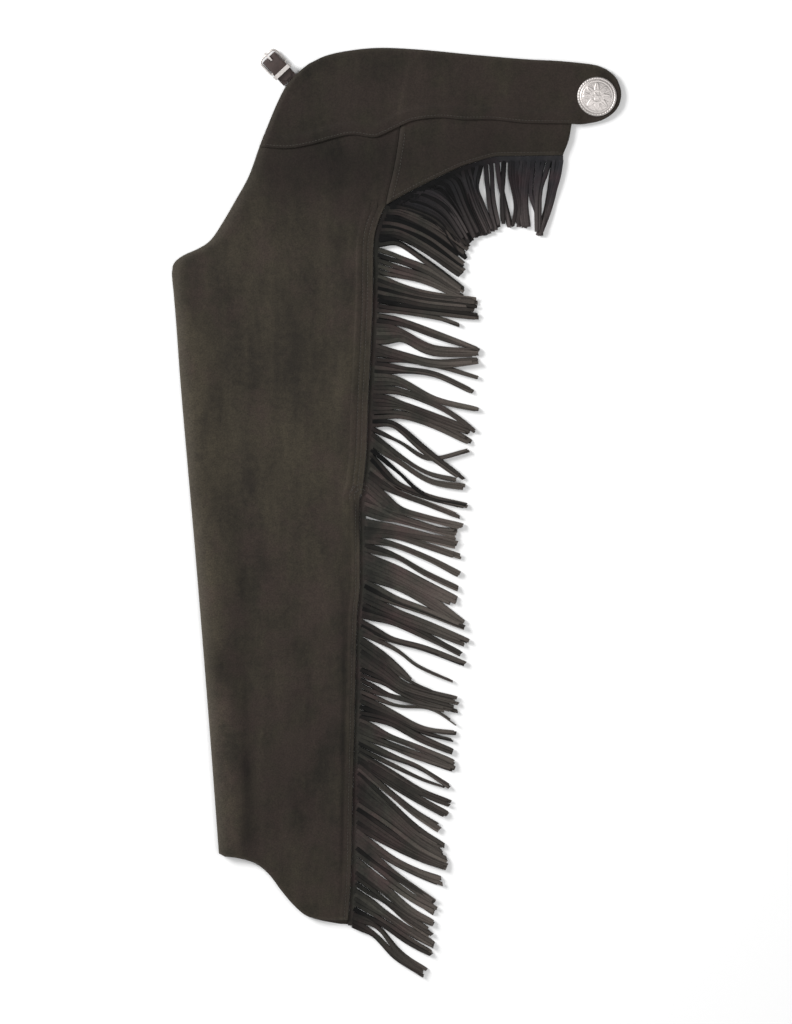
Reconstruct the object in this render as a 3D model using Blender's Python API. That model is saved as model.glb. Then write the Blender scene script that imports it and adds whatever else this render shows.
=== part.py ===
# Fringed suede chaps, folded in half lengthwise and laid flat with the left half on top.
# X runs from the front edge to the back tab, Y from the hem to the waist, Z is up, and the
# ground is Z = 0. All sizes below are millimetres; every mesh is scaled to metres at the end.

import math

import bmesh
import bpy
import numpy as np
from mathutils import Matrix

MM = 0.001

# Cloth and clearances
SUEDE = 1.6
SEAM_GAP = 0.3
LAP_SHARE = 0.85            # how much of the first row above the yoke seam a panel runs under it

# Height of the hidden layers under the waist and under the leg
WAIST_PILE = 3.4
LEG_PILE = 5.4
PILE_STEP_LOW, PILE_STEP_HIGH = 262.0, 330.0
FOLD_LOFT = 2.7             # extra height where the suede turns over the inseam fold
FOLD_SPREAD = 26.0
FIRST_COLUMN = 8.0          # from the inseam fold to the first flat column of the leg

# Outline and seams, as points that smooth curves pass through: (x, y)
WAIST_EDGE = [(-105, 537.6), (-84, 547.4), (-56, 553.4), (-20, 556.6), (29, 554.4), (96, 548),
              (155, 543), (196, 540.8), (236, 536.4), (251.4, 531)]
TAB_END = [(251.4, 531), (262.5, 521.5), (268.3, 509), (269.2, 497), (265, 484.5),
           (256, 475.5), (246, 470), (237, 467.4)]
YOKE_FRONT = [(-164.4, 438), (-155.4, 460.8), (-143.4, 489.6), (-131.4, 512.4), (-117, 528),
              (-105, 537.6)]
YOKE_SEAM_LEG = [(-164.4, 438), (-131, 435.7), (-100, 441), (-76, 447.8), (-52.7, 452.2),
                 (-29, 449), (-17, 452.2), (4, 462.5)]
YOKE_SEAM_HIP = [(4, 462.5), (18, 468.6), (37.4, 471.7), (57, 472.6), (80.5, 470.2),
                 (115.8, 470.2), (155, 466.3), (210, 465.5)]
TAB_UNDERSIDE = [(210, 465.5), (223, 465.2), (237, 467.4)]
HIP_SEAM = [(4, 462.5), (1.8, 442.8), (-3.4, 411.6), (-10.8, 380), (-12.7, 368.4)]
HIP_BACK = [(210, 465.5), (206.5, 446), (199.5, 427.8)]
HIP_ARC = [(-12.7, 368.4), (19.6, 386.3), (52.8, 402.8), (77.8, 414.4), (98.6, 421),
           (119.4, 426.4), (150, 427), (199.5, 427.8)]
FRONT_EDGE = [(-164.4, 438), (-177, 403), (-192.6, 374.4), (-209.4, 345.6), (-222.6, 326.4),
              (-235.8, 316.8), (-256, 307.4), (-267, 298), (-269.4, 286)]
INSEAM_FOLD = [(-269.4, 286), (-264.6, 230.4), (-257.4, 134.4), (-240.6, -57.6),
               (-225, -249.6), (-213, -409)]
HEM = [(-213, -409), (-208, -412.5), (-195, -414), (-180.6, -417), (-166, -423),
       (-151.8, -435.6), (-137.4, -454.8), (-123, -471.6), (-108.6, -483.6), (-92, -488.7),
       (-75, -489.5), (-58, -489)]
OUTER_SEAM_TOP = [(-12.7, 368.4), (-21, 350), (-27, 326), (-28, 288)]
OUTER_SEAM = [(-28, 288), (-28.5, 250), (-31, 190), (-34, 130), (-36, 72), (-41, 24),
              (-44, 12), (-44, -87), (-47.5, -130), (-50, -240), (-53, -361), (-54.6, -438),
              (-58, -489)]

# Rows and columns of the cloth's grids
YOKE_DOWN = (0, 0.1, 0.3, 0.53, 0.74, 0.87, 1)
HIP_ROWS = 4
CROTCH_ROWS = 5
FOLD_DOWN = (0, 0.012, 0.035, 0.08, 0.13, 0.18, 0.23, 0.28, 0.336, 0.356, 0.41, 0.45, 0.485,
             0.53, 0.58, 0.63, 0.68, 0.73, 0.78, 0.83, 0.88, 0.93, 0.97, 1)
LEFT_COLUMNS = (FIRST_COLUMN, 20, 38)
RIGHT_COLUMNS = (26, 14, 6)
LEG_MIDDLE_COLUMNS = 4
HIP_COLUMNS = 12
TAB_COLUMNS = 2

# Main creases of the leg and yoke: a line, its half width, and its height (troughs are negative)
CREASE_COLUMNS = ("from_x", "from_y", "to_x", "to_y", "half_width", "height")
CREASES = [
    (-214, 250, -196, 40, 12, -0.9),
    (-196, 60, -180, -150, 12, -0.8),
    (-184, -140, -166, -405, 13, -1.5),
    (-238, 200, -200, -380, 13, 0.8),
    (-54, 318, -66, 60, 11, 1.2),
    (-70, 20, -73, -470, 9, 0.9),
    (-180, -152, -70, -156, 12, 0.8),
    (-120, -162, -96, -210, 12, -0.8),
    (-132, -315, -139, -400, 9, -0.9),
    (-104, -305, -109, -400, 9, -0.8),
    (-152, 300, -118, 165, 18, 0.8),
    (-98, 335, -80, 225, 14, -0.9),
    (-172, 395, -92, 372, 16, 0.7),
    (20, 548, 6, 472, 9, 0.5),
]

# Edge of the hidden layers: three lips of suede, then the rolled fold under the inseam. Each row
# is the height and inset at a cut edge, then the height and inset at the fold. Heights are shares
# of the pile, insets are from the outline.
LAYERED_EDGE = [
    (0.00, 0.5, 0.00, 1.6),
    (0.08, 0.1, 0.06, 0.5),
    (0.25, 0.1, 0.17, 0.1),
    (0.32, 0.9, 0.28, 0.0),
    (0.40, 0.2, 0.39, 0.1),
    (0.58, 0.2, 0.50, 0.5),
    (0.65, 1.0, 0.56, 1.6),
    (0.73, 0.3, 0.57, 6.6),
    (0.92, 0.3, 0.79, 6.6),
    (0.96, 0.8, 0.98, 7.2),
]
HEM_PEEK = (6.0, 6.0, 6.0, 4.0, 3.5, 3.5, 2.0, 1.0, 1.0, 0.5)   # how far each level shows below
HEM_PEEK_AT = (-58, -489)
HEM_PEEK_REACH = 26.0
HEM_PEEK_ABOVE = 12.0       # the peek ends this far above the hem's corner

# The leg's suede at the inseam: it turns over an arc and runs back under itself as a tail.
# Above the crotch it lies flat to its cut edge. All measured in the middle of the suede.
ROLL_CENTRE = 2.7           # from the outline to the middle of the arc
ROLL_RADIUS = 1.75
ROLL_TAIL = 3.4
FLAT_TAIL = 1.5
ROLL_STEPS = 4
ROLL_TOP = (4.6, 6.8)       # places of the last points on top, in from the outline
ROLL_RISE_ROWS = 3          # rows over which the crotch corner turns from cut edge to fold

# Fringe: a narrow strip beside the seam, and flat strands cut from it
STRIP_CLEARANCE = 0.9
STRIP_WIDTH = 6.0
STRAND_WIDTH = 6.6
STRAND_GAP = 0.5
SMALLEST_PITCH = 3.4        # strands of a lock close up to this when the partings need the room
STRAND_THICKNESS = 1.5
LEG_STRANDS = 90
HIP_STRANDS = 19
THINNEST_HALF_STRAND = 0.6
CUT_SHORT, CUT_RHYTHM = 0.035, 2.4  # strands end short by up to this share, in an uneven rhythm
LEG_STRIP_SPAN = (360, -498)
HIP_STRIP_SPAN = (-8, 199)
LEG_TIPS = [(85, 298), (94, 278), (99, 254), (101.4, 194), (99, 128), (93, 68), (83.5, 8),
            (86, -58), (87, -106), (86.5, -184), (79, -226), (77.4, -298), (71.4, -340),
            (64, -388), (60.6, -420), (58, -448), (52, -484), (45, -533), (37.5, -555)]
HIP_TIPS = [(86, 305), (91, 318), (103, 330.5), (126, 336), (151, 339), (171, 328)]

# Partings between locks: where each leaves the strip and meets the tips (y on the leg, x on the
# hip), where along the strand it opens and closes (past 1 it stays open), and its width. Each
# row is (root, tip, opens, closes, width).
LEG_PARTINGS = [
    (328, 266, 0.14, 0.58, 9),
    (287, 250, 0.26, 0.80, 9),
    (236, 215, 0.26, 1.25, 18),
    (219, 191, 0.32, 0.98, 8),
    (182, 128, 0.26, 1.25, 21),
    (157, 100, 0.50, 0.98, 6),
    (127, 66, 0.26, 1.05, 18),
    (98, 44, 0.16, 1.20, 9),
    (61, 14, 0.28, 1.04, 13),
    (31, -14, 0.20, 0.98, 7),
    (-22, -46, 0.50, 1.30, 13),
    (-33, -72, 0.25, 1.15, 11),
    (-49, -106, 0.14, 1.00, 8),
    (-88, -146, 0.10, 1.00, 6),
    (-127, -174, 0.10, 0.90, 9),
    (-144, -215, 0.08, 1.25, 31),
    (-221, -263, 0.30, 1.02, 15),
    (-248, -286, 0.12, 1.25, 8),
    (-264, -325, 0.25, 1.20, 9),
    (-286, -345, 0.20, 1.20, 8),
    (-304, -381, 0.24, 1.00, 8),
    (-336, -409, 0.55, 1.10, 6),
    (-387, -440, 0.18, 1.20, 7),
    (-396, -462, 0.18, 1.20, 13),
    (-446, -513, 0.10, 1.20, 4),
    (-485, -543, 0.16, 1.20, 14),
]
HIP_PARTINGS = [
    (30, 90, 0.45, 0.85, 4),
    (105, 113, 0.22, 0.65, 6),
    (128, 127, 0.25, 1.10, 8),
    (166, 157, 0.20, 0.62, 5),
    (186, 163, 0.22, 0.75, 6),
]
LOWER_PARTING_SHARE = 0.6   # the under fringe opens less, so that its strands show in the gaps
LOWER_SLIP = 2.0            # and lies this much off the upper fringe along the seam

# Height of the middle of a strand at its root, on the way, and at its tip
UPPER_LEG_HEIGHTS = (5.4, 4.2, 3.5, 3.2)
UPPER_HIP_HEIGHTS = (4.4, 3.9, 3.5, 3.2)
LOWER_HEIGHTS = (2.0, 1.5, 1.25)

# Concho: a domed disc with a roped rim, as (radius, height) rings from its flat back upwards
CONCHO_AT = (240.4, 498)
CONCHO_LOBES = 22
CONCHO_ROPE = 0.5
CONCHO_PROFILE = [(22.6, 0.0), (23.6, 0.7), (23.2, 1.7), (21.4, 2.0), (20.6, 1.5), (17.0, 2.6),
                  (11.0, 3.6), (5.0, 4.1)]
CONCHO_TOP = 4.2

# Front strap and buckle: s runs outwards from the yoke's front edge, along the strap
STRAP_AT = (-127, 517.2)
STRAP_OUT = (-0.685, 0.728)
STRAP_WIDTH = 20.0
STRAP_LEATHER = 1.5
STRAP_SLOT = 3.6
HEEL_BAR = (20.6, 5.35)     # (s, height) of the middle of each bar
FAR_BAR = (42.4, 4.2)
BAR_RADIUS = 1.3
FRAME_HALF_WIDTH = 12.0
FRAME_CORNERS = (5.0, 1.8)  # radius of the two far corners, and of the two at the heel bar
LOOP_RADIUS = BAR_RADIUS + SEAM_GAP + STRAP_LEATHER / 2
BILLET_PATH = [(1.1, 1.15), (16, 1.15), (33, 1.15), (36.6, 2.0), (38.0, 4.4), (36.4, 6.8),
               (31, 8.0), (26, 9.0), (20.6, 9.6), (14.4, 9.0), (9, 7.6), (4, 6.8)]
BILLET_HOLE = (37.2, 5.9)
BILLET_TIP = (0.8, 2.6, 6.0)    # how far the last three stations are narrowed on each side
KEEPER_AT = 14.4
KEEPER_BAND = 4.8
KEEPER_INSIDE = (11.1, 5.3, 10.6)   # half width, lower and upper height of the opening
KEEPER_METAL = (1.6, 1.1)           # thickness at the sides and across the top
KEEPER_CORNERS = (1.2, 2.2)         # radius inside and outside
PRONG_PATH = [(24.5, 6.9), (30.5, 5.6), (36, 5.3), (39.4, 5.8), (42.4, 6.7), (45.0, 6.5)]
PRONG_SIZE = (2.2, 1.5)
PRONG_PLAY = 0.15

# Edges sharper than this stay crisp on the pieces that are shaded smooth, in degrees
CRISP_EDGE = 40

# Finishes: base colour, roughness, metallic
FINISHES = {
    "suede": ((0.045, 0.037, 0.031), 0.95, 0.0),
    "fringe_suede": ((0.040, 0.034, 0.030), 0.95, 0.0),
    "strap_leather": ((0.040, 0.030, 0.028), 0.7, 0.0),
    "silver": ((0.75, 0.72, 0.70), 0.3, 1.0),
}


def smooth_line(points, steps=24):
    """Smooth curve through the points, as a dense row of points."""
    p = np.array(points, float)
    if len(p) == 2:
        return p[0] + np.linspace(0, 1, steps)[:, None] * (p[1] - p[0])
    padded = np.vstack([2 * p[0] - p[1], p, 2 * p[-1] - p[-2]])
    rows = []
    for before, start, end, after in zip(padded, padded[1:], padded[2:], padded[3:]):
        t = np.linspace(0, 1, steps, endpoint=False)[:, None]
        bend = 2 * before - 5 * start + 4 * end - after
        twist = 3 * start - before - 3 * end + after
        rows.append(0.5 * (2 * start + (end - before) * t + bend * t ** 2 + twist * t ** 3))
    return np.vstack(rows + [p[-1:]])


def along(line, share):
    """Points at the given shares of a dense line's length."""
    steps = np.linalg.norm(np.diff(line, axis=0), axis=1)
    run = np.concatenate([[0], np.cumsum(steps)]) / steps.sum()
    return np.stack([np.interp(share, run, column) for column in line.T], axis=-1)


def length(line):
    return np.linalg.norm(np.diff(line, axis=0), axis=1).sum()


def join(*lines):
    """One line from several that meet end to end."""
    return np.vstack([lines[0]] + [line[1:] for line in lines[1:]])


def patch(top, bottom, left, right, across, down):
    """Grid of points inside four edges: each edge's shape fades out towards the far edge."""
    u, v = across[..., None], down[:, None, None]
    rows = (1 - v) * along(top, across) + v * along(bottom, across)
    columns = (1 - u) * left[:, None] + u * right[:, None]
    corners = ((1 - u) * (1 - v) * top[0] + u * (1 - v) * top[-1]
               + (1 - u) * v * bottom[0] + u * v * bottom[-1])
    return rows + columns - corners


def smoothstep(value, low, high):
    t = np.clip((value - low) / (high - low), 0, 1)
    return t * t * (3 - 2 * t)


def crease_height(x, y):
    """Soft ridges and troughs: each fades across its width and towards its two ends."""
    total = np.zeros_like(x)
    for row in CREASES:
        crease = dict(zip(CREASE_COLUMNS, row))
        start = np.array([crease["from_x"], crease["from_y"]], float)
        run = np.array([crease["to_x"], crease["to_y"]], float) - start
        share = ((x - start[0]) * run[0] + (y - start[1]) * run[1]) / (run @ run)
        nearest = np.clip(share, 0, 1)
        off = np.hypot(x - start[0] - nearest * run[0], y - start[1] - nearest * run[1])
        ends = smoothstep(share, -0.08, 0.2) * (1 - smoothstep(share, 0.8, 1.08))
        total += crease["height"] * ends * np.exp(-(off / crease["half_width"]) ** 2)
    return total


def pile_height(x, y):
    """Top of the hidden layers: low under the waist, higher where the leg's tube begins."""
    level = smoothstep(y, PILE_STEP_LOW, PILE_STEP_HIGH)
    return LEG_PILE + (WAIST_PILE - LEG_PILE) * level + crease_height(x, y)


def lay_out():
    """Grids of the yoke, leg and hip, which share the points of the seams between them."""
    seam_leg, seam_hip = smooth_line(YOKE_SEAM_LEG), smooth_line(YOKE_SEAM_HIP)
    underside = smooth_line(TAB_UNDERSIDE)

    front, fold = smooth_line(FRONT_EDGE), smooth_line(INSEAM_FOLD)
    hip_seam, seam_top = smooth_line(HIP_SEAM), smooth_line(OUTER_SEAM_TOP)
    crotch = np.linspace(0, 1, HIP_ROWS + CROTCH_ROWS + 1)
    left = join(along(front, crotch), along(fold, np.array(FOLD_DOWN)))
    right = join(along(hip_seam, np.linspace(0, 1, HIP_ROWS + 1)),
                 along(seam_top, np.linspace(0, 1, CROTCH_ROWS + 1)),
                 along(smooth_line(OUTER_SEAM), np.array(FOLD_DOWN)))
    drop = np.concatenate([[0], np.cumsum(np.linalg.norm(np.diff(left + right, axis=0), axis=1))])
    width = np.linalg.norm(right - left, axis=1)
    width[0] = length(seam_leg)
    near = np.array(LEFT_COLUMNS) / width[:, None]
    far = 1 - np.array(RIGHT_COLUMNS) / width[:, None]
    spread = np.linspace(0, 1, LEG_MIDDLE_COLUMNS + 2)[1:-1]
    middle = near[:, -1:] + (far[:, :1] - near[:, -1:]) * spread
    edge = np.zeros((len(left), 1))
    across = np.hstack([edge, near, middle, far, edge + 1])
    leg = patch(seam_leg, smooth_line(HEM), left, right, across, drop / drop[-1])

    bottom = join(seam_leg, seam_hip, underside)
    stretch = np.array([length(seam_leg), length(seam_hip), length(underside)])
    starts = np.concatenate([[0], np.cumsum(stretch)])
    hip_shares = np.linspace(0, 1, HIP_COLUMNS + 1)
    tab_shares = np.linspace(0, 1, TAB_COLUMNS + 1)
    columns = np.concatenate([across[0] * stretch[0],
                              starts[1] + hip_shares[1:] * stretch[1],
                              starts[2] + tab_shares[1:] * stretch[2]]) / starts[-1]
    down = np.array(YOKE_DOWN)
    yoke = patch(smooth_line(WAIST_EDGE), bottom,
                 along(smooth_line(YOKE_FRONT)[::-1], down), along(smooth_line(TAB_END), down),
                 np.tile(columns, (len(down), 1)), down)

    leg_last = leg.shape[1] - 1
    leg[0] = yoke[-1, :leg_last + 1]
    hip = patch(seam_hip, smooth_line(HIP_ARC), leg[:HIP_ROWS + 1, -1],
                along(smooth_line(HIP_BACK), np.linspace(0, 1, HIP_ROWS + 1)),
                np.tile(hip_shares, (HIP_ROWS + 1, 1)), np.linspace(0, 1, HIP_ROWS + 1))
    hip[0] = yoke[-1, leg_last:leg_last + HIP_COLUMNS + 1]
    hip[:, 0] = leg[:HIP_ROWS + 1, -1]
    return yoke, leg, hip


def raised(grid):
    """Grid with the height of the hidden layers as its third coordinate."""
    return np.dstack([grid, pile_height(grid[..., 0], grid[..., 1])])


def rolled_share(rows):
    """0 on the leg's rows with a cut front edge, 1 where the inseam is folded."""
    first = HIP_ROWS + CROTCH_ROWS
    return np.clip((np.arange(rows) - first) / ROLL_RISE_ROWS, 0, 1)


def fold_nearness(leg):
    """1 beside the inseam fold, fading out over the leg's columns."""
    in_from_fold = np.linalg.norm(leg[..., :2] - leg[:, :1, :2], axis=2)
    beyond = np.maximum(in_from_fold - FIRST_COLUMN, 0) / FOLD_SPREAD
    return rolled_share(len(leg))[:, None] * np.exp(-beyond ** 2)


def roll_section(share):
    """Suede at the inseam as (in, down from the top, lean): lean is the turned angle."""
    turn = share * math.pi
    lean = turn * np.linspace(1, 0, ROLL_STEPS + 1)
    flat_steps = np.linspace(FLAT_TAIL - ROLL_CENTRE, 0, ROLL_STEPS + 1)
    inward = ROLL_CENTRE - ROLL_RADIUS * np.sin(lean) + (1 - share) ** 3 * flat_steps
    down = ROLL_RADIUS * (1 - np.cos(lean))
    tail = ROLL_TAIL * share ** 6 + FLAT_TAIL * (1 - share)
    end = inward[0] - tail * math.cos(turn), down[0] + tail * math.sin(turn), turn
    section = [end] + list(zip(inward, down, lean)) + [(place, 0, 0) for place in ROLL_TOP]
    return np.array(section)


def material(name, finish):
    colour, roughness, metallic = FINISHES[finish]
    made = bpy.data.materials.new(name + "_" + finish)
    made.use_nodes = True
    shader = made.node_tree.nodes["Principled BSDF"]
    shader.inputs["Base Color"].default_value = (*colour, 1)
    shader.inputs["Roughness"].default_value = roughness
    shader.inputs["Metallic"].default_value = metallic
    return made


def add_solid(name, points, faces, finish, smooth=False):
    """Object from points in millimetres, with its faces turned outwards."""
    mesh = bpy.data.meshes.new(name)
    mesh.from_pydata((np.array(points, float) * MM).tolist(), [], faces)
    solid = bmesh.new()
    solid.from_mesh(mesh)
    bmesh.ops.triangulate(solid, faces=[f for f in solid.faces if len(f.verts) > 4])
    bmesh.ops.recalc_face_normals(solid, faces=solid.faces)
    solid.to_mesh(mesh)
    solid.free()
    if smooth:
        mesh.shade_smooth()
        mesh.set_sharp_from_angle(angle=math.radians(CRISP_EDGE))
    mesh.materials.append(material(name, finish))
    made = bpy.data.objects.new(name, mesh)
    bpy.context.collection.objects.link(made)
    return made


def add_shell(name, upper, lower, finish, open_cells=()):
    """Closed sheet between an upper and a lower grid, with holes where cells are left open."""
    rows, columns = upper.shape[:2]
    points = np.vstack([upper.reshape(-1, 3), lower.reshape(-1, 3)])
    below = rows * columns
    kept = np.ones((rows - 1, columns - 1), bool)
    for cell in open_cells:
        kept[cell] = False
    faces = []
    for r, c in zip(*np.nonzero(kept)):
        corners = [(r, c), (r, c + 1), (r + 1, c + 1), (r + 1, c)]
        ids = [int(i * columns + j) for i, j in corners]
        for triangle in (ids[:3], [ids[0], ids[2], ids[3]]):
            faces.append(triangle)
            faces.append([i + below for i in reversed(triangle)])
        neighbours = [(r - 1, c), (r, c + 1), (r + 1, c), (r, c - 1)]
        for side, (i, j) in enumerate(neighbours):
            inside = 0 <= i < rows - 1 and 0 <= j < columns - 1 and kept[i, j]
            if not inside:
                a, b = ids[side], ids[(side + 1) % 4]
                faces.append([b, a, a + below, b + below])
    used = sorted({i for face in faces for i in face})
    place = {old: new for new, old in enumerate(used)}
    return add_solid(name, points[used], [[place[i] for i in face] for face in faces], finish)


def build_leg(leg, yoke):
    """Leg panel: laps under the yoke, and rolls over the inseam fold below the crotch."""
    columns = leg.shape[1]
    seam, above = leg[0], yoke[-2, :columns]
    lap = seam + LAP_SHARE * (above - seam)
    middle = np.vstack([lap[None], leg])
    middle[..., 2] += SEAM_GAP + SUEDE / 2
    rolled = np.concatenate([[0], rolled_share(len(leg))])
    section = np.array([roll_section(share) for share in rolled])
    inward, down, lean = section[..., 0], section[..., 1], section[..., 2]
    inwards = middle[:, 1, :2] - middle[:, 0, :2]
    inwards /= np.linalg.norm(inwards, axis=1)[:, None]
    edge = np.dstack([middle[:, :1, :2] + inwards[:, None] * inward[..., None],
                      middle[:, :1, 2] - down])
    sheet = np.hstack([edge, middle[:, 1:]])
    normal = np.zeros_like(sheet)
    normal[..., 2] = 1
    normal[:, :section.shape[1]] = np.dstack([-inwards[:, None] * np.sin(lean)[..., None],
                                              np.cos(lean)])
    half = SUEDE / 2
    return add_shell("leg_panel", sheet + half * normal, sheet - half * normal, "suede")


def build_hip(hip, yoke, leg_columns):
    above = yoke[-2, leg_columns - 1:leg_columns + HIP_COLUMNS]
    lap = hip[0] + LAP_SHARE * (above - hip[0])
    lower = np.vstack([lap[None], hip])
    lower[:, 0, 0] += SEAM_GAP
    lower[..., 2] += SEAM_GAP
    return add_shell("hip_panel", lower + (0, 0, SUEDE), lower, "suede")


def build_yoke(yoke, lapped_columns):
    """Yoke: rests on the hidden layers, and steps up over the panels that lap under it."""
    lower = yoke.copy()
    lower[..., 2] += SEAM_GAP
    lower[-2:, :lapped_columns, 2] += SUEDE + SEAM_GAP
    return add_shell("yoke", lower + (0, 0, SUEDE), lower, "suede")


def rim_of(faces):
    """The edges that belong to one face only, chained into a loop."""
    onward = {}
    for face in faces:
        for a, b in zip(face, face[1:] + face[:1]):
            onward[(a, b)] = True
    nexts = {a: b for a, b in onward if (b, a) not in onward}
    loop = [next(iter(nexts))]
    while nexts[loop[-1]] != loop[0]:
        loop.append(nexts[loop[-1]])
    return loop


def build_hidden_layers(yoke, leg, hip):
    """Everything folded under: one solid with a flat underside and layered, rounded edges."""
    points, index, faces = [], {}, []
    folded, near_fold, inward = {}, {}, {}
    rolled, nearness = rolled_share(len(leg)), fold_nearness(leg)
    for grid in (yoke, leg, hip):
        ids = np.empty(grid.shape[:2], int)
        for cell in np.ndindex(*grid.shape[:2]):
            key = tuple(np.round(grid[cell][:2], 5))
            if key not in index:
                index[key] = len(points)
                points.append(grid[cell])
            ids[cell] = index[key]
        for r, c in np.ndindex(ids.shape[0] - 1, ids.shape[1] - 1):
            quad = [ids[r, c], ids[r + 1, c], ids[r + 1, c + 1], ids[r, c + 1]]
            faces.append([int(i) for i in quad[:3]])
            faces.append([int(quad[i]) for i in (0, 2, 3)])
        if grid is leg:
            near_fold.update(zip(ids.ravel().tolist(), nearness.ravel()))
            for row in range(HIP_ROWS + CROTCH_ROWS, len(leg)):
                folded[int(ids[row, 0])] = rolled[row]
                inward[int(ids[row, 0])] = leg[row, 1, :2] - leg[row, 0, :2]
    points = np.array(points)
    loop = rim_of(faces)
    rim = points[loop]
    tangent = np.roll(rim[:, :2], -1, axis=0) - np.roll(rim[:, :2], 1, axis=0)
    outward = np.column_stack([tangent[:, 1], -tangent[:, 0]])
    share = np.sqrt([folded.get(i, 0) for i in loop])
    near = np.array([near_fold.get(i, 0) for i in loop])
    for k, i in enumerate(loop):
        if i in inward:
            outward[k] = -inward[i]
    outward /= np.linalg.norm(outward, axis=1)[:, None]
    cut_height, cut_inset, fold_height, fold_inset = np.array(LAYERED_EDGE).T
    peek = np.exp(-(np.linalg.norm(rim[:, :2] - HEM_PEEK_AT, axis=1) / HEM_PEEK_REACH) ** 2)
    on_hem = rim[:, 1] <= HEM_PEEK_AT[1] + HEM_PEEK_ABOVE
    levels = []
    for k in range(len(LAYERED_EDGE)):
        inset = (1 - share) * cut_inset[k] + share * fold_inset[k]
        height = ((1 - near) * cut_height[k] + near * fold_height[k]) * rim[:, 2]
        place = rim[:, :2] - outward * inset[:, None]
        place[:, 1] -= peek * on_hem * HEM_PEEK[k]
        levels.append(np.column_stack([place, height]))
    top_ring = {i: len(points) + (len(levels) - 1) * len(loop) + k for k, i in enumerate(loop)}
    solid = [[top_ring.get(i, i) for i in face] for face in faces]
    count = len(loop)
    for k in range(len(levels) - 1):
        base = len(points) + k * count
        for i in range(count):
            j = (i + 1) % count
            solid.append([base + i, base + j, base + count + j, base + count + i])
    solid.append([len(points) + i for i in range(count)])
    everything = np.vstack([points] + levels)
    used = sorted({i for face in solid for i in face})
    place = {old: new for new, old in enumerate(used)}
    solid = [[place[i] for i in face] for face in solid]
    return add_solid("hidden_layers", everything[used], solid, "suede")


def offset_line(line, distance):
    """The line moved sideways, to the right of its direction when distance is positive."""
    run = np.gradient(line, axis=0)
    run /= np.linalg.norm(run, axis=1)[:, None]
    return line + distance * np.column_stack([run[:, 1], -run[:, 0]])


def at_value(line, value, axis):
    """Points of a line where one coordinate, which rises or falls all along it, has the values."""
    order = np.argsort(line[:, axis])
    return np.stack([np.interp(value, line[order, axis], line[order, k]) for k in (0, 1)], axis=-1)


def strand_middles(roots, tips, axis, partings, values, stations):
    """Middle lines of all strands: those between two partings share the room left by both."""
    first = (values[0], tips[0, axis], 0, 1, 0)
    last = (values[-1], tips[-1, axis], 0, 1, 0)
    table = np.array([first] + partings + [last], float)
    root_value, tip_value, opens, closes, width = table.T
    start, end = at_value(roots, root_value, axis), at_value(tips, tip_value, axis)
    run = end - start
    step = np.gradient(start, axis=0)
    across = np.column_stack([-run[:, 1], run[:, 0]])
    across *= np.sign((across * step).sum(axis=1))[:, None]
    across /= np.linalg.norm(across, axis=1)[:, None]
    rising = np.sign(values[-1] - values[0])
    lock = np.clip(np.searchsorted(rising * root_value, rising * values) - 1, 0, len(table) - 2)
    share = ((values - root_value[lock]) / (root_value[lock + 1] - root_value[lock]))[:, None]
    needed = SMALLEST_PITCH * np.bincount(lock, minlength=len(table) - 1)
    middles = []
    for t in stations:
        opened = np.clip((t - opens) / (closes - opens), 0, 1)
        half = 0.5 * width * np.sin(math.pi * opened)
        line = start + t * run
        free = np.abs((np.diff(line, axis=0) * across[:-1]).sum(axis=1)) - needed
        fits = np.clip(free / np.maximum(half[:-1] + half[1:], 0.01), 0, 1)
        half *= np.minimum(np.append(1, fits), np.append(fits, 1))
        here = line[lock] + across[lock] * half[lock][:, None]
        there = line[lock + 1] - across[lock + 1] * half[lock + 1][:, None]
        middles.append(here + share * (there - here))
    return np.array(middles)


def at_height(xy, z):
    return np.column_stack([xy, np.full(len(xy), z)])


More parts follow.
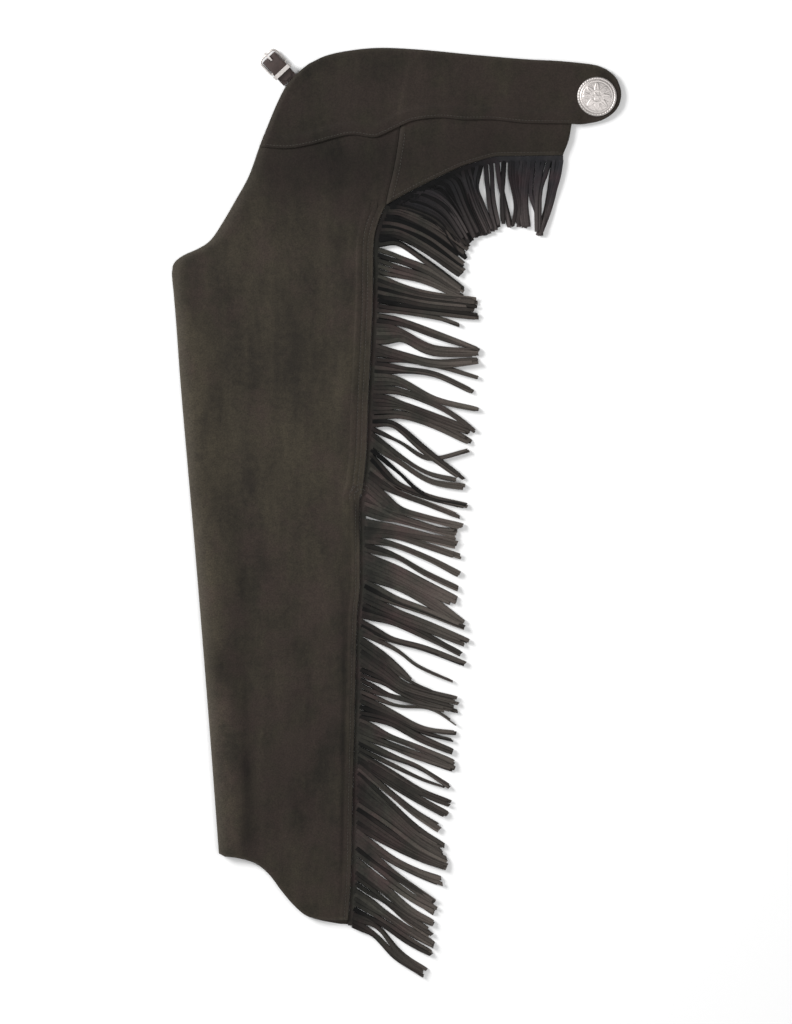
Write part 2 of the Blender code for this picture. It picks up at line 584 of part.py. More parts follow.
def build_fringe(name, edge, span, tips, axis, partings, count, heights, slip=0.0):
    """One backing strip with its strands: flat, four-sided, apart from each other."""
    side_of_line = 1 if axis == 0 else -1
    onward = edge[-1] + (edge[-1] - edge[-2])
    fine = smooth_line(np.vstack([edge, onward]), 4)
    inner = offset_line(fine, side_of_line * STRIP_CLEARANCE)
    outer = offset_line(fine, side_of_line * (STRIP_CLEARANCE + STRIP_WIDTH))
    tip_line = smooth_line(tips)
    pitch = (span[1] - span[0]) / count
    values = span[0] + (np.arange(count) + 0.5) * pitch
    stations = np.linspace(0, 1, len(heights))
    middles = strand_middles(outer, tip_line, axis, partings, values, stations)
    cut = 1 - CUT_SHORT * np.abs(np.sin(CUT_RHYTHM * np.arange(count) + len(name)))
    middles = middles[0] + (middles - middles[0]) * cut[:, None]
    middles[1:, :, axis] += slip * stations[1:, None]

    run = np.gradient(middles, axis=0)
    run /= np.linalg.norm(run, axis=2)[..., None]
    side = np.dstack([-run[..., 1], run[..., 0]])
    side *= np.sign((np.gradient(middles, axis=1) * side).sum(axis=2))[..., None]
    apart = np.abs((np.diff(middles, axis=1) * side[:, 1:]).sum(axis=2))
    apart = np.minimum(apart, np.abs((np.diff(middles, axis=1) * side[:, :-1]).sum(axis=2)))
    room = np.minimum(np.hstack([apart[:, :1], apart]), np.hstack([apart, apart[:, -1:]]))
    half = np.minimum(STRAND_WIDTH / 2, (room - STRAND_GAP) / 2)
    half = np.maximum(half, THINNEST_HALF_STRAND)

    root_half = (abs(pitch) - STRAND_GAP) / 2 * np.sign(pitch)
    column_values = np.column_stack([values - root_half, values + root_half]).ravel()
    inner_points = at_value(inner, column_values, axis)
    outer_points = at_value(outer, column_values, axis)
    top, bottom = heights[0] + STRAND_THICKNESS / 2, heights[0] - STRAND_THICKNESS / 2
    columns = len(column_values)
    points = [at_height(inner_points, top), at_height(inner_points, bottom),
              at_height(outer_points, top), at_height(outer_points, bottom)]
    it, ib, ot, ob = (k * columns for k in range(4))
    faces = [[it, ib, ob, ot], [it + columns - 1, ot + columns - 1, ob + columns - 1,
                                ib + columns - 1]]
    for m in range(columns - 1):
        faces.append([it + m, it + m + 1, ot + m + 1, ot + m])
        faces.append([ib + m, ob + m, ob + m + 1, ib + m + 1])
        faces.append([it + m, ib + m, ib + m + 1, it + m + 1])
        if m % 2:
            faces.append([ot + m, ot + m + 1, ob + m + 1, ob + m])
    ring = [[ot + 2 * i, ot + 2 * i + 1, ob + 2 * i + 1, ob + 2 * i] for i in range(count)]
    base = 4 * columns
    for k in range(1, len(heights)):
        before = middles[k] - side[k] * half[k][:, None]
        after = middles[k] + side[k] * half[k][:, None]
        up, low = heights[k] + STRAND_THICKNESS / 2, heights[k] - STRAND_THICKNESS / 2
        points += [at_height(before, up), at_height(after, up), at_height(after, low),
                   at_height(before, low)]
        for i in range(count):
            new = [base + j * count + i for j in range(4)]
            for a, b in ((0, 1), (1, 2), (2, 3), (3, 0)):
                faces.append([ring[i][a], ring[i][b], new[b], new[a]])
            ring[i] = new
        base += 4 * count
    faces += ring
    return add_solid(name, np.vstack(points), faces, "fringe_suede")


def build_concho(ground):
    """Turned disc: its rim is notched like a twisted rope, its face is domed."""
    steps = 2 * CONCHO_LOBES
    angle = np.arange(steps) * 2 * math.pi / steps
    points, faces = [], []
    for ring, (radius, height) in enumerate(CONCHO_PROFILE):
        notch = CONCHO_ROPE * (np.arange(steps) % 2) if ring in (1, 2) else 0
        around = (radius - notch) * np.array([np.cos(angle), np.sin(angle)])
        points.append(np.column_stack([CONCHO_AT[0] + around[0], CONCHO_AT[1] + around[1],
                                       np.full(steps, ground + height)]))
    for ring in range(len(CONCHO_PROFILE) - 1):
        for i in range(steps):
            j = (i + 1) % steps
            a, b = ring * steps, (ring + 1) * steps
            faces.append([a + i, a + j, b + j, b + i])
    points.append([[*CONCHO_AT, ground + CONCHO_TOP]])
    top = len(CONCHO_PROFILE) * steps
    for i in range(steps):
        faces.append([top - steps + i, top - steps + (i + 1) % steps, top])
    faces.append(list(range(steps))[::-1])
    return add_solid("concho", np.vstack(points), faces, "silver", smooth=True)


def on_strap(s, side, height):
    """World place of a point given along the strap, across it, and above the ground."""
    out = np.array(STRAP_OUT)
    beside = np.array([STRAP_OUT[1], -STRAP_OUT[0]])
    s, side, height = np.broadcast_arrays(s, side, height)
    place = np.array(STRAP_AT) + s[..., None] * out + side[..., None] * beside
    return np.concatenate([place, height[..., None]], axis=-1)


def build_strap(name, path, half_widths, slots, finish):
    """Strap bent along its path of (s, height), with slots in its middle column."""
    path = np.array(path, float)
    run = np.gradient(path, axis=0)
    run /= np.linalg.norm(run, axis=1)[:, None]
    normal = np.column_stack([-run[:, 1], run[:, 0]]) * STRAP_LEATHER / 2
    cuts = np.array([-1, 0, 0, 1])
    slot = np.array([0, -STRAP_SLOT / 2, STRAP_SLOT / 2, 0])
    side = cuts * np.array(half_widths)[:, None] + slot
    grids = []
    for sign in (1, -1):
        face = path + sign * normal
        grids.append(on_strap(face[:, :1], side, face[:, 1:]))
    return add_shell(name, grids[0], grids[1], finish, [(row, 1) for row in slots])


def build_front_strap():
    """Strap from the yoke's edge, looped round the heel bar and turned back under itself."""
    angles = np.radians(np.arange(100, -101, -25))
    s, height = HEEL_BAR
    loop = [(s + LOOP_RADIUS * math.cos(a), height + LOOP_RADIUS * math.sin(a)) for a in angles]
    over = [(1.2, 4.5), (5, 4.9), (10, 5.9), (14.5, 7.1), (17.3, 7.5)]
    under = [(17.3, 3.0), (12, 3.0), (6.5, 3.0)]
    path = over + loop + under
    slots = range(len(over) - 1, len(over) + len(loop))
    return build_strap("front_strap", path, [STRAP_WIDTH / 2] * len(path), slots, "strap_leather")


def build_billet():
    """Billet from the hidden half: out underneath, up through the buckle, back to its tip."""
    path = along(smooth_line(BILLET_PATH), np.linspace(0, 1, 25))
    off = np.linalg.norm(path - BILLET_HOLE, axis=1)
    hole = int(np.argmin(off))
    half = np.full(len(path), STRAP_WIDTH / 2)
    half[-len(BILLET_TIP):] -= BILLET_TIP
    return build_strap("billet", path, half, [hole - 2, hole - 1, hole, hole + 1], "strap_leather")


def add_swept(name, path, beside, section, finish, closed):
    """Section swept along a path; beside gives each station's sideways direction."""
    path, beside = np.array(path, float), np.array(beside, float)
    if closed:
        run = np.roll(path, -1, axis=0) - np.roll(path, 1, axis=0)
    else:
        run = np.gradient(path, axis=0)
    run /= np.linalg.norm(run, axis=1)[:, None]
    beside = beside - (beside * run).sum(axis=1)[:, None] * run
    beside /= np.linalg.norm(beside, axis=1)[:, None]
    up = np.cross(run, beside)
    section = np.array(section, float)
    points = (path[:, None] + section[:, :1] * beside[:, None] + section[:, 1:] * up[:, None])
    around, stations = len(section), len(path)
    faces = []
    for k in range(stations if closed else stations - 1):
        a, b = k * around, (k + 1) % stations * around
        for i in range(around):
            j = (i + 1) % around
            faces.append([a + i, a + j, b + j, b + i])
    if not closed:
        faces.append(list(range(around))[::-1])
        faces.append([(stations - 1) * around + i for i in range(around)])
    return add_solid(name, points.reshape(-1, 3), faces, finish, smooth=True)


def rounded_box(half_width, half_length, corners, steps):
    """Closed outline of a box with round far and near corners, anticlockwise."""
    outline = []
    for quarter in range(4):
        corner = corners[0] if quarter in (0, 1) else corners[1]
        cx = (half_width - corner) * (1 if quarter in (0, 3) else -1)
        cy = (half_length - corner) * (1 if quarter in (0, 1) else -1)
        for a in np.linspace(quarter * 90, quarter * 90 + 90, steps + 1):
            outline.append((cx + corner * math.cos(math.radians(a)),
                            cy + corner * math.sin(math.radians(a))))
    return np.array(outline)


def build_buckle_frame():
    """Round bar bent to a frame that lies in the plane through both bars."""
    (heel, heel_height), (far, far_height) = HEEL_BAR, FAR_BAR
    half_length = (far - heel) / 2
    outline = rounded_box(FRAME_HALF_WIDTH, half_length, FRAME_CORNERS, 4)
    s = heel + half_length + outline[:, 1]
    height = heel_height + (far_height - heel_height) * (s - heel) / (far - heel)
    path = on_strap(s, outline[:, 0], height)
    angle = np.radians(np.arange(0, 360, 45))
    section = BAR_RADIUS * np.column_stack([np.cos(angle), np.sin(angle)])
    beside = np.tile((0.0, 0.0, 1.0), (len(path), 1))
    return add_swept("buckle_frame", path, beside, section, "silver", closed=True)


def build_keeper():
    """Flat metal band bent to a loop round the strap and the billet."""
    half_width, low, high = KEEPER_INSIDE
    side, top = KEEPER_METAL
    middle_height = (low + high) / 2
    inner, outer = KEEPER_CORNERS
    inside = rounded_box(half_width, (high - low) / 2, (inner, inner), 2)
    outside = rounded_box(half_width + side, (high - low) / 2 + top, (outer, outer), 2)
    points, faces = [], []
    count = len(inside)
    for s in (KEEPER_AT - KEEPER_BAND / 2, KEEPER_AT + KEEPER_BAND / 2):
        for outline in (inside, outside):
            points.append(on_strap(np.full(count, s), outline[:, 0],
                                   outline[:, 1] + middle_height))
    for i in range(count):
        j = (i + 1) % count
        near_in, near_out, far_in, far_out = (k * count for k in range(4))
        faces.append([near_in + i, near_in + j, near_out + j, near_out + i])
        faces.append([far_in + j, far_in + i, far_out + i, far_out + j])
        faces.append([near_out + i, near_out + j, far_out + j, far_out + i])
        faces.append([near_in + j, near_in + i, far_in + i, far_in + j])
    return add_solid("buckle_keeper", np.vstack(points), faces, "silver", smooth=True)


def build_prong():
    """Prong hooked round the heel bar, up through the billet's hole and over the far bar."""
    s, height = HEEL_BAR
    radius = BAR_RADIUS + SEAM_GAP + PRONG_SIZE[1] / 2 + PRONG_PLAY
    hook = [(s + radius * math.cos(math.radians(a)), height + radius * math.sin(math.radians(a)))
            for a in range(250, 99, -30)]
    path = np.array(hook + PRONG_PATH)
    places = on_strap(path[:, 0], np.zeros(len(path)), path[:, 1])
    half_width, half_height = PRONG_SIZE[0] / 2, PRONG_SIZE[1] / 2
    section = [(-half_width, -half_height), (half_width, -half_height),
               (half_width, half_height), (-half_width, half_height)]
    beside = np.tile((STRAP_OUT[1], -STRAP_OUT[0], 0.0), (len(path), 1))
    return add_swept("buckle_prong", places, beside, section, "silver", closed=False)


def opened_less(partings):
    """The partings of the under fringe, whose strands show in the gaps of the upper one."""
    return [(a, b, c, d, e * LOWER_PARTING_SHARE) for a, b, c, d, e in partings]


def centre_on_ground(objects):
    """Moves all meshes so that the origin is under the middle of the whole object."""
    corners = np.array([v.co for made in objects for v in made.data.vertices])
    low, high = corners.min(axis=0), corners.max(axis=0)
    middle = (low + high) / 2
    for made in objects:
        made.data.transform(Matrix.Translation((-middle[0], -middle[1], -low[2])))


def build_chaps():
    for old in list(bpy.data.objects):
        bpy.data.objects.remove(old)
    yoke, leg, hip = (raised(grid) for grid in lay_out())
    leg[..., 2] += FOLD_LOFT * fold_nearness(leg)
    leg_columns = leg.shape[1]
    concho_ground = WAIST_PILE + SUEDE + 2 * SEAM_GAP
    on_leg = {"edge": leg[HIP_ROWS:, -1, :2], "span": LEG_STRIP_SPAN, "tips": LEG_TIPS,
              "axis": 1, "count": LEG_STRANDS}
    on_hip = {"edge": hip[-1, :, :2], "span": HIP_STRIP_SPAN, "tips": HIP_TIPS,
              "axis": 0, "count": HIP_STRANDS}
    objects = [
        build_hidden_layers(yoke, leg, hip),
        build_leg(leg, yoke),
        build_hip(hip, yoke, leg_columns),
        build_yoke(yoke, leg_columns + HIP_COLUMNS),
        build_fringe("fringe_leg_upper", partings=LEG_PARTINGS, heights=UPPER_LEG_HEIGHTS,
                     **on_leg),
        build_fringe("fringe_hip_upper", partings=HIP_PARTINGS, heights=UPPER_HIP_HEIGHTS,
                     **on_hip),
        build_fringe("fringe_leg_lower", partings=opened_less(LEG_PARTINGS),
                     heights=LOWER_HEIGHTS, slip=-LOWER_SLIP, **on_leg),
        build_fringe("fringe_hip_lower", partings=opened_less(HIP_PARTINGS),
                     heights=LOWER_HEIGHTS, slip=-LOWER_SLIP, **on_hip),
        build_concho(concho_ground),
        build_front_strap(),
        build_billet(),
        build_buckle_frame(),
        build_keeper(),
        build_prong(),
    ]
    centre_on_ground(objects)


build_chaps()
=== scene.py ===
# %% [markdown]
# # Fringed suede chaps, folded in half and laid flat
# The solids of the chaps are loaded first and never moved: every piece made below lies in their
# frame, in metres, and takes the place of the plain solid that it is made for. The outline is
# charted in millimetres from one picture, so one shift brings the chart into the frame. The
# middle of the silver concho is known in both, and gives that shift.

# %% Load the frame
import math

import bpy
import numpy as np
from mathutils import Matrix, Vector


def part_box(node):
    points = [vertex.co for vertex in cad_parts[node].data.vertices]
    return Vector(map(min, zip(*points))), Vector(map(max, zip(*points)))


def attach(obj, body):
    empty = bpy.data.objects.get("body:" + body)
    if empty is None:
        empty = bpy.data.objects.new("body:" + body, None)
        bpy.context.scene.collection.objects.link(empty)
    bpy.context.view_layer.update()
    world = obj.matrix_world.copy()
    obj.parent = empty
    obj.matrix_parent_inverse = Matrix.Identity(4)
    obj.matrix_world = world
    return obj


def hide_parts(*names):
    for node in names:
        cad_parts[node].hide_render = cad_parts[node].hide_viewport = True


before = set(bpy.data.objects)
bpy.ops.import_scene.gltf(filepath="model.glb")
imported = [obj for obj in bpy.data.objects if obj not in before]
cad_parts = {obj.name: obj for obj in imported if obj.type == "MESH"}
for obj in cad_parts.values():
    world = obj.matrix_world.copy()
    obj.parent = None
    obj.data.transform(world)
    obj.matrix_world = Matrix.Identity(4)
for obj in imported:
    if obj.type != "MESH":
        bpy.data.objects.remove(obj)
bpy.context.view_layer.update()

MM = 0.001
CONCHO_AT = (240.4, 498.0)
concho_low, concho_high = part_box("concho")
SHIFT = np.array([(concho_low[k] + concho_high[k]) / 2 - CONCHO_AT[k] * MM for k in (0, 1)])


def to_frame(points):
    """Charted millimetres to metres in the frame: p * 0.001 + shift in x and y."""
    return np.asarray(points, float) * MM + np.append(SHIFT, 0.0)


# %% [markdown]
# ## Floor, camera and light
# The chaps are photographed from straight above on white. A long lens far up gives the same
# flat view as the picture and still fits the part from any side. Two large soft lights stand
# for the sky and the side window of a studio; the floor is a plain pale sheet.

# %% Floor, camera and lights
PICTURE_MM = (950.4, 1228.8)
PICTURE_MIDDLE = (-0.6, 0.0)
LENS = 200.0
SENSOR = 36.0


def make_material(name):
    made = bpy.data.materials.new(name)
    made.use_nodes = True
    return made, made.node_tree, made.node_tree.nodes["Principled BSDF"]


def add_floor(size, colour):
    mesh = bpy.data.meshes.new("floor")
    half = size / 2
    mesh.from_pydata([(-half, -half, 0), (half, -half, 0), (half, half, 0), (-half, half, 0)],
                     [], [(0, 1, 2, 3)])
    made, tree, shader = make_material("floor_paper")
    shader.inputs["Base Color"].default_value = (*colour, 1)
    shader.inputs["Roughness"].default_value = 0.9
    mesh.materials.append(made)
    floor = bpy.data.objects.new("floor", mesh)
    bpy.context.collection.objects.link(floor)


def add_camera():
    data = bpy.data.cameras.new("camera")
    data.lens, data.sensor_width = LENS, SENSOR
    data.clip_end = 60
    camera = bpy.data.objects.new("camera", data)
    bpy.context.collection.objects.link(camera)
    away = PICTURE_MM[1] * MM * LENS / SENSOR
    camera.location = (*to_frame((*PICTURE_MIDDLE, 0))[:2], away)
    bpy.context.scene.camera = camera


def add_light(name, place, size, power):
    data = bpy.data.lights.new(name, "AREA")
    data.shape, data.size, data.energy = "DISK", size, power
    light = bpy.data.objects.new(name, data)
    bpy.context.collection.objects.link(light)
    away = np.array(place, float)
    light.location = away
    tilt = math.acos(away[2] / np.linalg.norm(away))
    light.rotation_euler = (0, tilt, math.atan2(away[1], away[0]))


add_floor(14.0, (0.86, 0.86, 0.86))
add_camera()
add_light("window", (-2.7, 1.5, 1.9), 1.6, 150)
add_light("sky", (0.9, -0.6, 3.4), 3.2, 60)
world = bpy.data.worlds.new("studio")
world.use_nodes = True
world.node_tree.nodes["Background"].inputs["Color"].default_value = (1, 1, 1, 1)
world.node_tree.nodes["Background"].inputs["Strength"].default_value = 0.36
bpy.context.scene.world = world
bpy.context.scene.view_settings.view_transform = "Standard"
print("camera", tuple(round(c, 3) for c in bpy.context.scene.camera.location))

# %% [markdown]
# ## Smooth lines and patches
# A pattern maker draws with a flexible curve through a few marks. The same is done here: a
# smooth curve through charted points, points at shares of its length, and a patch that fills
# four such curves. Everything is worked out for whole arrays at once.

# %% Curves and patches


def smooth_line(points, steps=24):
    """Curve through the points. From p1 to p2, with t from 0 to 1, it is 0.5 (2 p1 +
    (p2 - p0) t + (2 p0 - 5 p1 + 4 p2 - p3) t^2 + (3 p1 - p0 - 3 p2 + p3) t^3)."""
    p = np.array(points, float)
    p = np.vstack([2 * p[0] - p[1], p, 2 * p[-1] - p[-2]])
    t = np.linspace(0, 1, steps, endpoint=False)[:, None]
    p0, p1, p2, p3 = p[:-3, None], p[1:-2, None], p[2:-1, None], p[3:, None]
    spans = 0.5 * (2 * p1 + (p2 - p0) * t + (2 * p0 - 5 * p1 + 4 * p2 - p3) * t ** 2
                   + (3 * p1 - p0 - 3 * p2 + p3) * t ** 3)
    return np.vstack([spans.reshape(-1, p.shape[1]), p[-2]])


def length(line):
    return np.linalg.norm(np.diff(line, axis=0), axis=1).sum()


def along(line, share):
    """Points at shares of a line's length, by straight interpolation between its points."""
    steps = np.linalg.norm(np.diff(line, axis=0), axis=1)
    run = np.concatenate([[0], np.cumsum(steps)]) / steps.sum()
    return np.stack([np.interp(share, run, column) for column in line.T], axis=-1)


def join(*lines):
    return np.vstack([lines[0]] + [line[1:] for line in lines[1:]])


def offset_line(line, distance):
    """The line moved sideways, to the right of its direction when distance is positive."""
    run = np.gradient(line, axis=0)
    run /= np.linalg.norm(run, axis=1)[:, None]
    return line + distance * np.column_stack([run[:, 1], -run[:, 0]])


def patch(top, bottom, left, right, across, down):
    """Coons patch: (rows between top and bottom) + (columns between left and right) - (the
    four corners' plane), with across as u on each row and down as v."""
    u, v = across[..., None], down[:, None, None]
    rows = (1 - v) * along(top, across) + v * along(bottom, across)
    columns = (1 - u) * left[:, None] + u * right[:, None]
    corners = ((1 - u) * (1 - v) * top[0] + u * (1 - v) * top[-1]
               + (1 - u) * v * bottom[0] + u * v * bottom[-1])
    return rows + columns - corners


def smoothstep(value, low, high):
    t = np.clip((value - low) / (high - low), 0, 1)
    return t * t * (3 - 2 * t)


def distance_to(line, x, y):
    """Shortest distance from each (x, y) to the points of a dense line."""
    spots = np.stack([np.ravel(x), np.ravel(y)], axis=1)
    gaps = [np.hypot(*(part[:, None] - line[None]).transpose(2, 0, 1)).min(axis=1)
            for part in np.array_split(spots, len(spots) // 4000 + 1)]
    return np.concatenate(gaps).reshape(np.shape(x))


# %% [markdown]
# ## The cut of the chaps
# These marks are the edges of the pieces as they lie: the belt yoke with its wavy lower edge and
# rounded back tab, the leg with its curved front edge and inseam fold, and the small hip panel
# over the arc of the fringe. Each row is a mark that the smooth edge passes through.

# %% Outline marks in millimetres
WAIST_EDGE = [(-105, 537.6), (-84, 547.4), (-56, 553.4), (-20, 556.6), (29, 554.4), (96, 548),
              (155, 543), (196, 540.8), (236, 536.4), (251.4, 531)]
TAB_END = [(251.4, 531), (262.5, 521.5), (268.3, 509), (269.2, 497), (265, 484.5),
           (256, 475.5), (246, 470), (237, 467.4)]
YOKE_FRONT = [(-164.4, 438), (-155.4, 460.8), (-143.4, 489.6), (-131.4, 512.4), (-117, 528),
              (-105, 537.6)]
YOKE_SEAM_LEG = [(-164.4, 438), (-131, 435.7), (-100, 441), (-76, 447.8), (-52.7, 452.2),
                 (-29, 449), (-17, 452.2), (4, 462.5)]
YOKE_SEAM_HIP = [(4, 462.5), (18, 468.6), (37.4, 471.7), (57, 472.6), (80.5, 470.2),
                 (115.8, 470.2), (155, 466.3), (210, 465.5)]
TAB_UNDERSIDE = [(210, 465.5), (223, 465.2), (237, 467.4)]
HIP_SEAM = [(4, 462.5), (1.8, 442.8), (-3.4, 411.6), (-10.8, 380), (-12.7, 368.4)]
HIP_BACK = [(210, 465.5), (206.5, 446), (199.5, 427.8)]
HIP_ARC = [(-12.7, 368.4), (19.6, 386.3), (52.8, 402.8), (77.8, 414.4), (98.6, 421),
           (119.4, 426.4), (150, 427), (199.5, 427.8)]
FRONT_EDGE = [(-164.4, 438), (-177, 403), (-192.6, 374.4), (-209.4, 345.6), (-222.6, 326.4),
              (-235.8, 316.8), (-256, 307.4), (-267, 298), (-269.4, 286)]
INSEAM_FOLD = [(-269.4, 286), (-264.6, 230.4), (-257.4, 134.4), (-240.6, -57.6),
               (-225, -249.6), (-213, -409)]
HEM = [(-213, -409), (-208, -412.5), (-195, -414), (-180.6, -417), (-166, -423),
       (-151.8, -435.6), (-137.4, -454.8), (-123, -471.6), (-108.6, -483.6), (-92, -488.7),
       (-75, -489.5), (-58, -489)]
OUTER_SEAM_TOP = [(-12.7, 368.4), (-21, 350), (-27, 326), (-28, 288)]
OUTER_SEAM = [(-28, 288), (-28.5, 250), (-31, 190), (-34, 130), (-36, 72), (-41, 24),
              (-44, 12), (-44, -87), (-47.5, -130), (-50, -240), (-53, -361), (-54.6, -438),
              (-58, -489)]
print("waist edge", round(length(smooth_line(WAIST_EDGE))), "mm, inseam",
      round(length(smooth_line(INSEAM_FOLD))), "mm")

# %% [markdown]
# ## Heights: layers and creases
# Everything that is folded under makes a pile. It is thin under the waist and thicker where the
# leg is a tube, and the suede stands proud where it turns over the inseam fold. The creases of
# storage are soft ridges and troughs, charted one by one: uneven in length, width and height.

# %% Height of the pile and its creases
SUEDE = 1.6
SEAM_GAP = 0.3
WAIST_PILE, LEG_PILE = 3.4, 5.4
PILE_STEP_LOW, PILE_STEP_HIGH = 262.0, 330.0
FOLD_LOFT, FOLD_SPREAD, FIRST_COLUMN = 2.7, 26.0, 8.0
CREASE_COLUMNS = ("from_x", "from_y", "to_x", "to_y", "half_width", "height")
MAIN_CREASES = [
    (-214, 250, -196, 40, 12, -0.9), (-196, 60, -180, -150, 12, -0.8),
    (-184, -140, -166, -405, 13, -1.5), (-238, 200, -200, -380, 13, 0.8),
    (-54, 318, -66, 60, 11, 1.2), (-70, 20, -73, -470, 9, 0.9),
    (-180, -152, -70, -156, 12, 0.8), (-120, -162, -96, -210, 12, -0.8),
    (-132, -315, -139, -400, 9, -0.9), (-104, -305, -109, -400, 9, -0.8),
    (-152, 300, -118, 165, 18, 0.8), (-98, 335, -80, 225, 14, -0.9),
    (-172, 395, -92, 372, 16, 0.7), (20, 548, 6, 472, 9, 0.5),
]


def crease_height(x, y, creases):
    """Sum over the creases of height * (fades in and out along it) * exp(-(off / width)^2)."""
    total = np.zeros(np.shape(x))
    for row in creases:
        crease = dict(zip(CREASE_COLUMNS, row))
        start = np.array([crease["from_x"], crease["from_y"]], float)
        run = np.array([crease["to_x"], crease["to_y"]], float) - start
        share = ((x - start[0]) * run[0] + (y - start[1]) * run[1]) / (run @ run)
        nearest = np.clip(share, 0, 1)
        off = np.hypot(x - start[0] - nearest * run[0], y - start[1] - nearest * run[1])
        ends = smoothstep(share, -0.08, 0.2) * (1 - smoothstep(share, 0.8, 1.08))
        total += crease["height"] * ends * np.exp(-(off / crease["half_width"]) ** 2)
    return total


def pile_height(x, y):
    """Waist pile above, leg pile below, a smooth step between them, plus the creases."""
    level = smoothstep(y, PILE_STEP_LOW, PILE_STEP_HIGH)
    return LEG_PILE + (WAIST_PILE - LEG_PILE) * level + crease_height(x, y, MAIN_CREASES)


def small_waves(x, y):
    """Slack of the suede, never below 0: a product and a sum of slow sines, 0 to 0.7 mm."""
    slow = np.sin(x / 31 + 1.3 * np.sin(y / 87)) * np.sin(y / 63 + 0.8 * np.sin(x / 45))
    quick = np.sin(x / 13.7 + y / 29) * np.sin(y / 19.3 - x / 41)
    return 0.35 + 0.24 * slow + 0.11 * quick


print("pile at the knee", round(float(pile_height(-150, 0)), 2), "mm")

# %% [markdown]
# ## Three grids that share their seams
# The yoke, leg and hip are laid out as grids whose rows run across and whose columns run down.
# Columns crowd together beside the outer seam, because the stitched band is shaped there, and
# the seam points of one piece are the seam points of the next, so no gap can open.

# %% Lay out the grids
YOKE_DOWN = np.concatenate([[0, 0.006, 0.02, 0.04], np.arange(0.07, 0.75, 0.035),
                            np.arange(0.76, 0.9, 0.02), [0.91, 0.94, 0.965, 0.98, 0.992, 1]])
LAP_FROM = int(np.searchsorted(YOKE_DOWN, 0.905))
HIP_ROWS, CROTCH_ROWS = 24, 24
FOLD_DOWN = np.concatenate([np.linspace(0, 0.99, 178), [0.994, 0.997, 0.9992, 1]])
LEFT_COLUMNS = np.array([8, 11, 14.5, 19, 24, 30, 37])
RIGHT_COLUMNS = np.array([44, 38, 33, 29, 26, 24, 22.5, 21.5, 20.7, 20, 19.3, 18.3, 16.7, 15,
                          13.7, 12.8, 12, 11.2, 10, 8.4, 6.8, 5.4, 4, 2.8, 1.6, 0.6])
LEG_MIDDLE_COLUMNS = 26
HIP_COLUMNS = 52
TAB_COLUMNS = 8


def lay_out():
    seam_leg, seam_hip = smooth_line(YOKE_SEAM_LEG), smooth_line(YOKE_SEAM_HIP)
    underside = smooth_line(TAB_UNDERSIDE)
    crotch = np.linspace(0, 1, HIP_ROWS + CROTCH_ROWS + 1)
    left = join(along(smooth_line(FRONT_EDGE), crotch), along(smooth_line(INSEAM_FOLD), FOLD_DOWN))
    right = join(along(smooth_line(HIP_SEAM), np.linspace(0, 1, HIP_ROWS + 1)),
                 along(smooth_line(OUTER_SEAM_TOP), np.linspace(0, 1, CROTCH_ROWS + 1)),
                 along(smooth_line(OUTER_SEAM), FOLD_DOWN))
    drop = np.concatenate([[0], np.cumsum(np.linalg.norm(np.diff(left + right, axis=0), axis=1))])
    width = np.linalg.norm(right - left, axis=1)
    width[0] = length(seam_leg)
    near = LEFT_COLUMNS / width[:, None]
    far = 1 - RIGHT_COLUMNS / width[:, None]
    spread = np.linspace(0, 1, LEG_MIDDLE_COLUMNS + 2)[1:-1]
    middle = near[:, -1:] + (far[:, :1] - near[:, -1:]) * spread
    edge = np.zeros((len(left), 1))
    across = np.hstack([edge, near, middle, far, edge + 1])
    leg = patch(seam_leg, smooth_line(HEM), left, right, across, drop / drop[-1])

    stretch = np.array([length(seam_leg), length(seam_hip), length(underside)])
    starts = np.concatenate([[0], np.cumsum(stretch)])
    hip_shares = np.concatenate([np.linspace(0, 1, HIP_COLUMNS - 1)[:-1], [0.985, 0.997, 1]])
    tab_shares = np.linspace(0, 1, TAB_COLUMNS + 1)
    columns = np.concatenate([across[0] * stretch[0], starts[1] + hip_shares[1:] * stretch[1],
                              starts[2] + tab_shares[1:] * stretch[2]]) / starts[-1]
    yoke = patch(smooth_line(WAIST_EDGE), join(seam_leg, seam_hip, underside),
                 along(smooth_line(YOKE_FRONT)[::-1], YOKE_DOWN),
                 along(smooth_line(TAB_END), YOKE_DOWN),
                 np.tile(columns, (len(YOKE_DOWN), 1)), YOKE_DOWN)
    last = leg.shape[1] - 1
    leg[0] = yoke[-1, :last + 1]
    hip_down = np.linspace(0, 1, HIP_ROWS + 1)
    hip = patch(seam_hip, smooth_line(HIP_ARC), leg[:HIP_ROWS + 1, -1],
                along(smooth_line(HIP_BACK), hip_down),
                np.tile(hip_shares, (HIP_ROWS + 1, 1)), hip_down)
    hip[0] = yoke[-1, last:last + len(hip_shares)]
    hip[:, 0] = leg[:HIP_ROWS + 1, -1]
    return yoke, leg, hip


yoke_flat, leg_flat, hip_flat = lay_out()
LEG_COLUMNS = leg_flat.shape[1]
HIP_END = LEG_COLUMNS - 1 + hip_flat.shape[1]
print("grids", yoke_flat.shape[:2], leg_flat.shape[:2], hip_flat.shape[:2])

# %% [markdown]
# ## Meshes from grids
# A piece of suede has two faces and a cut edge. Its mesh is a grid moved half the thickness
# up and down along the surface's own normal, with the four edges closed, and a little thinner
# at the edge, where a knife and wear round it.

# %% Mesh helpers


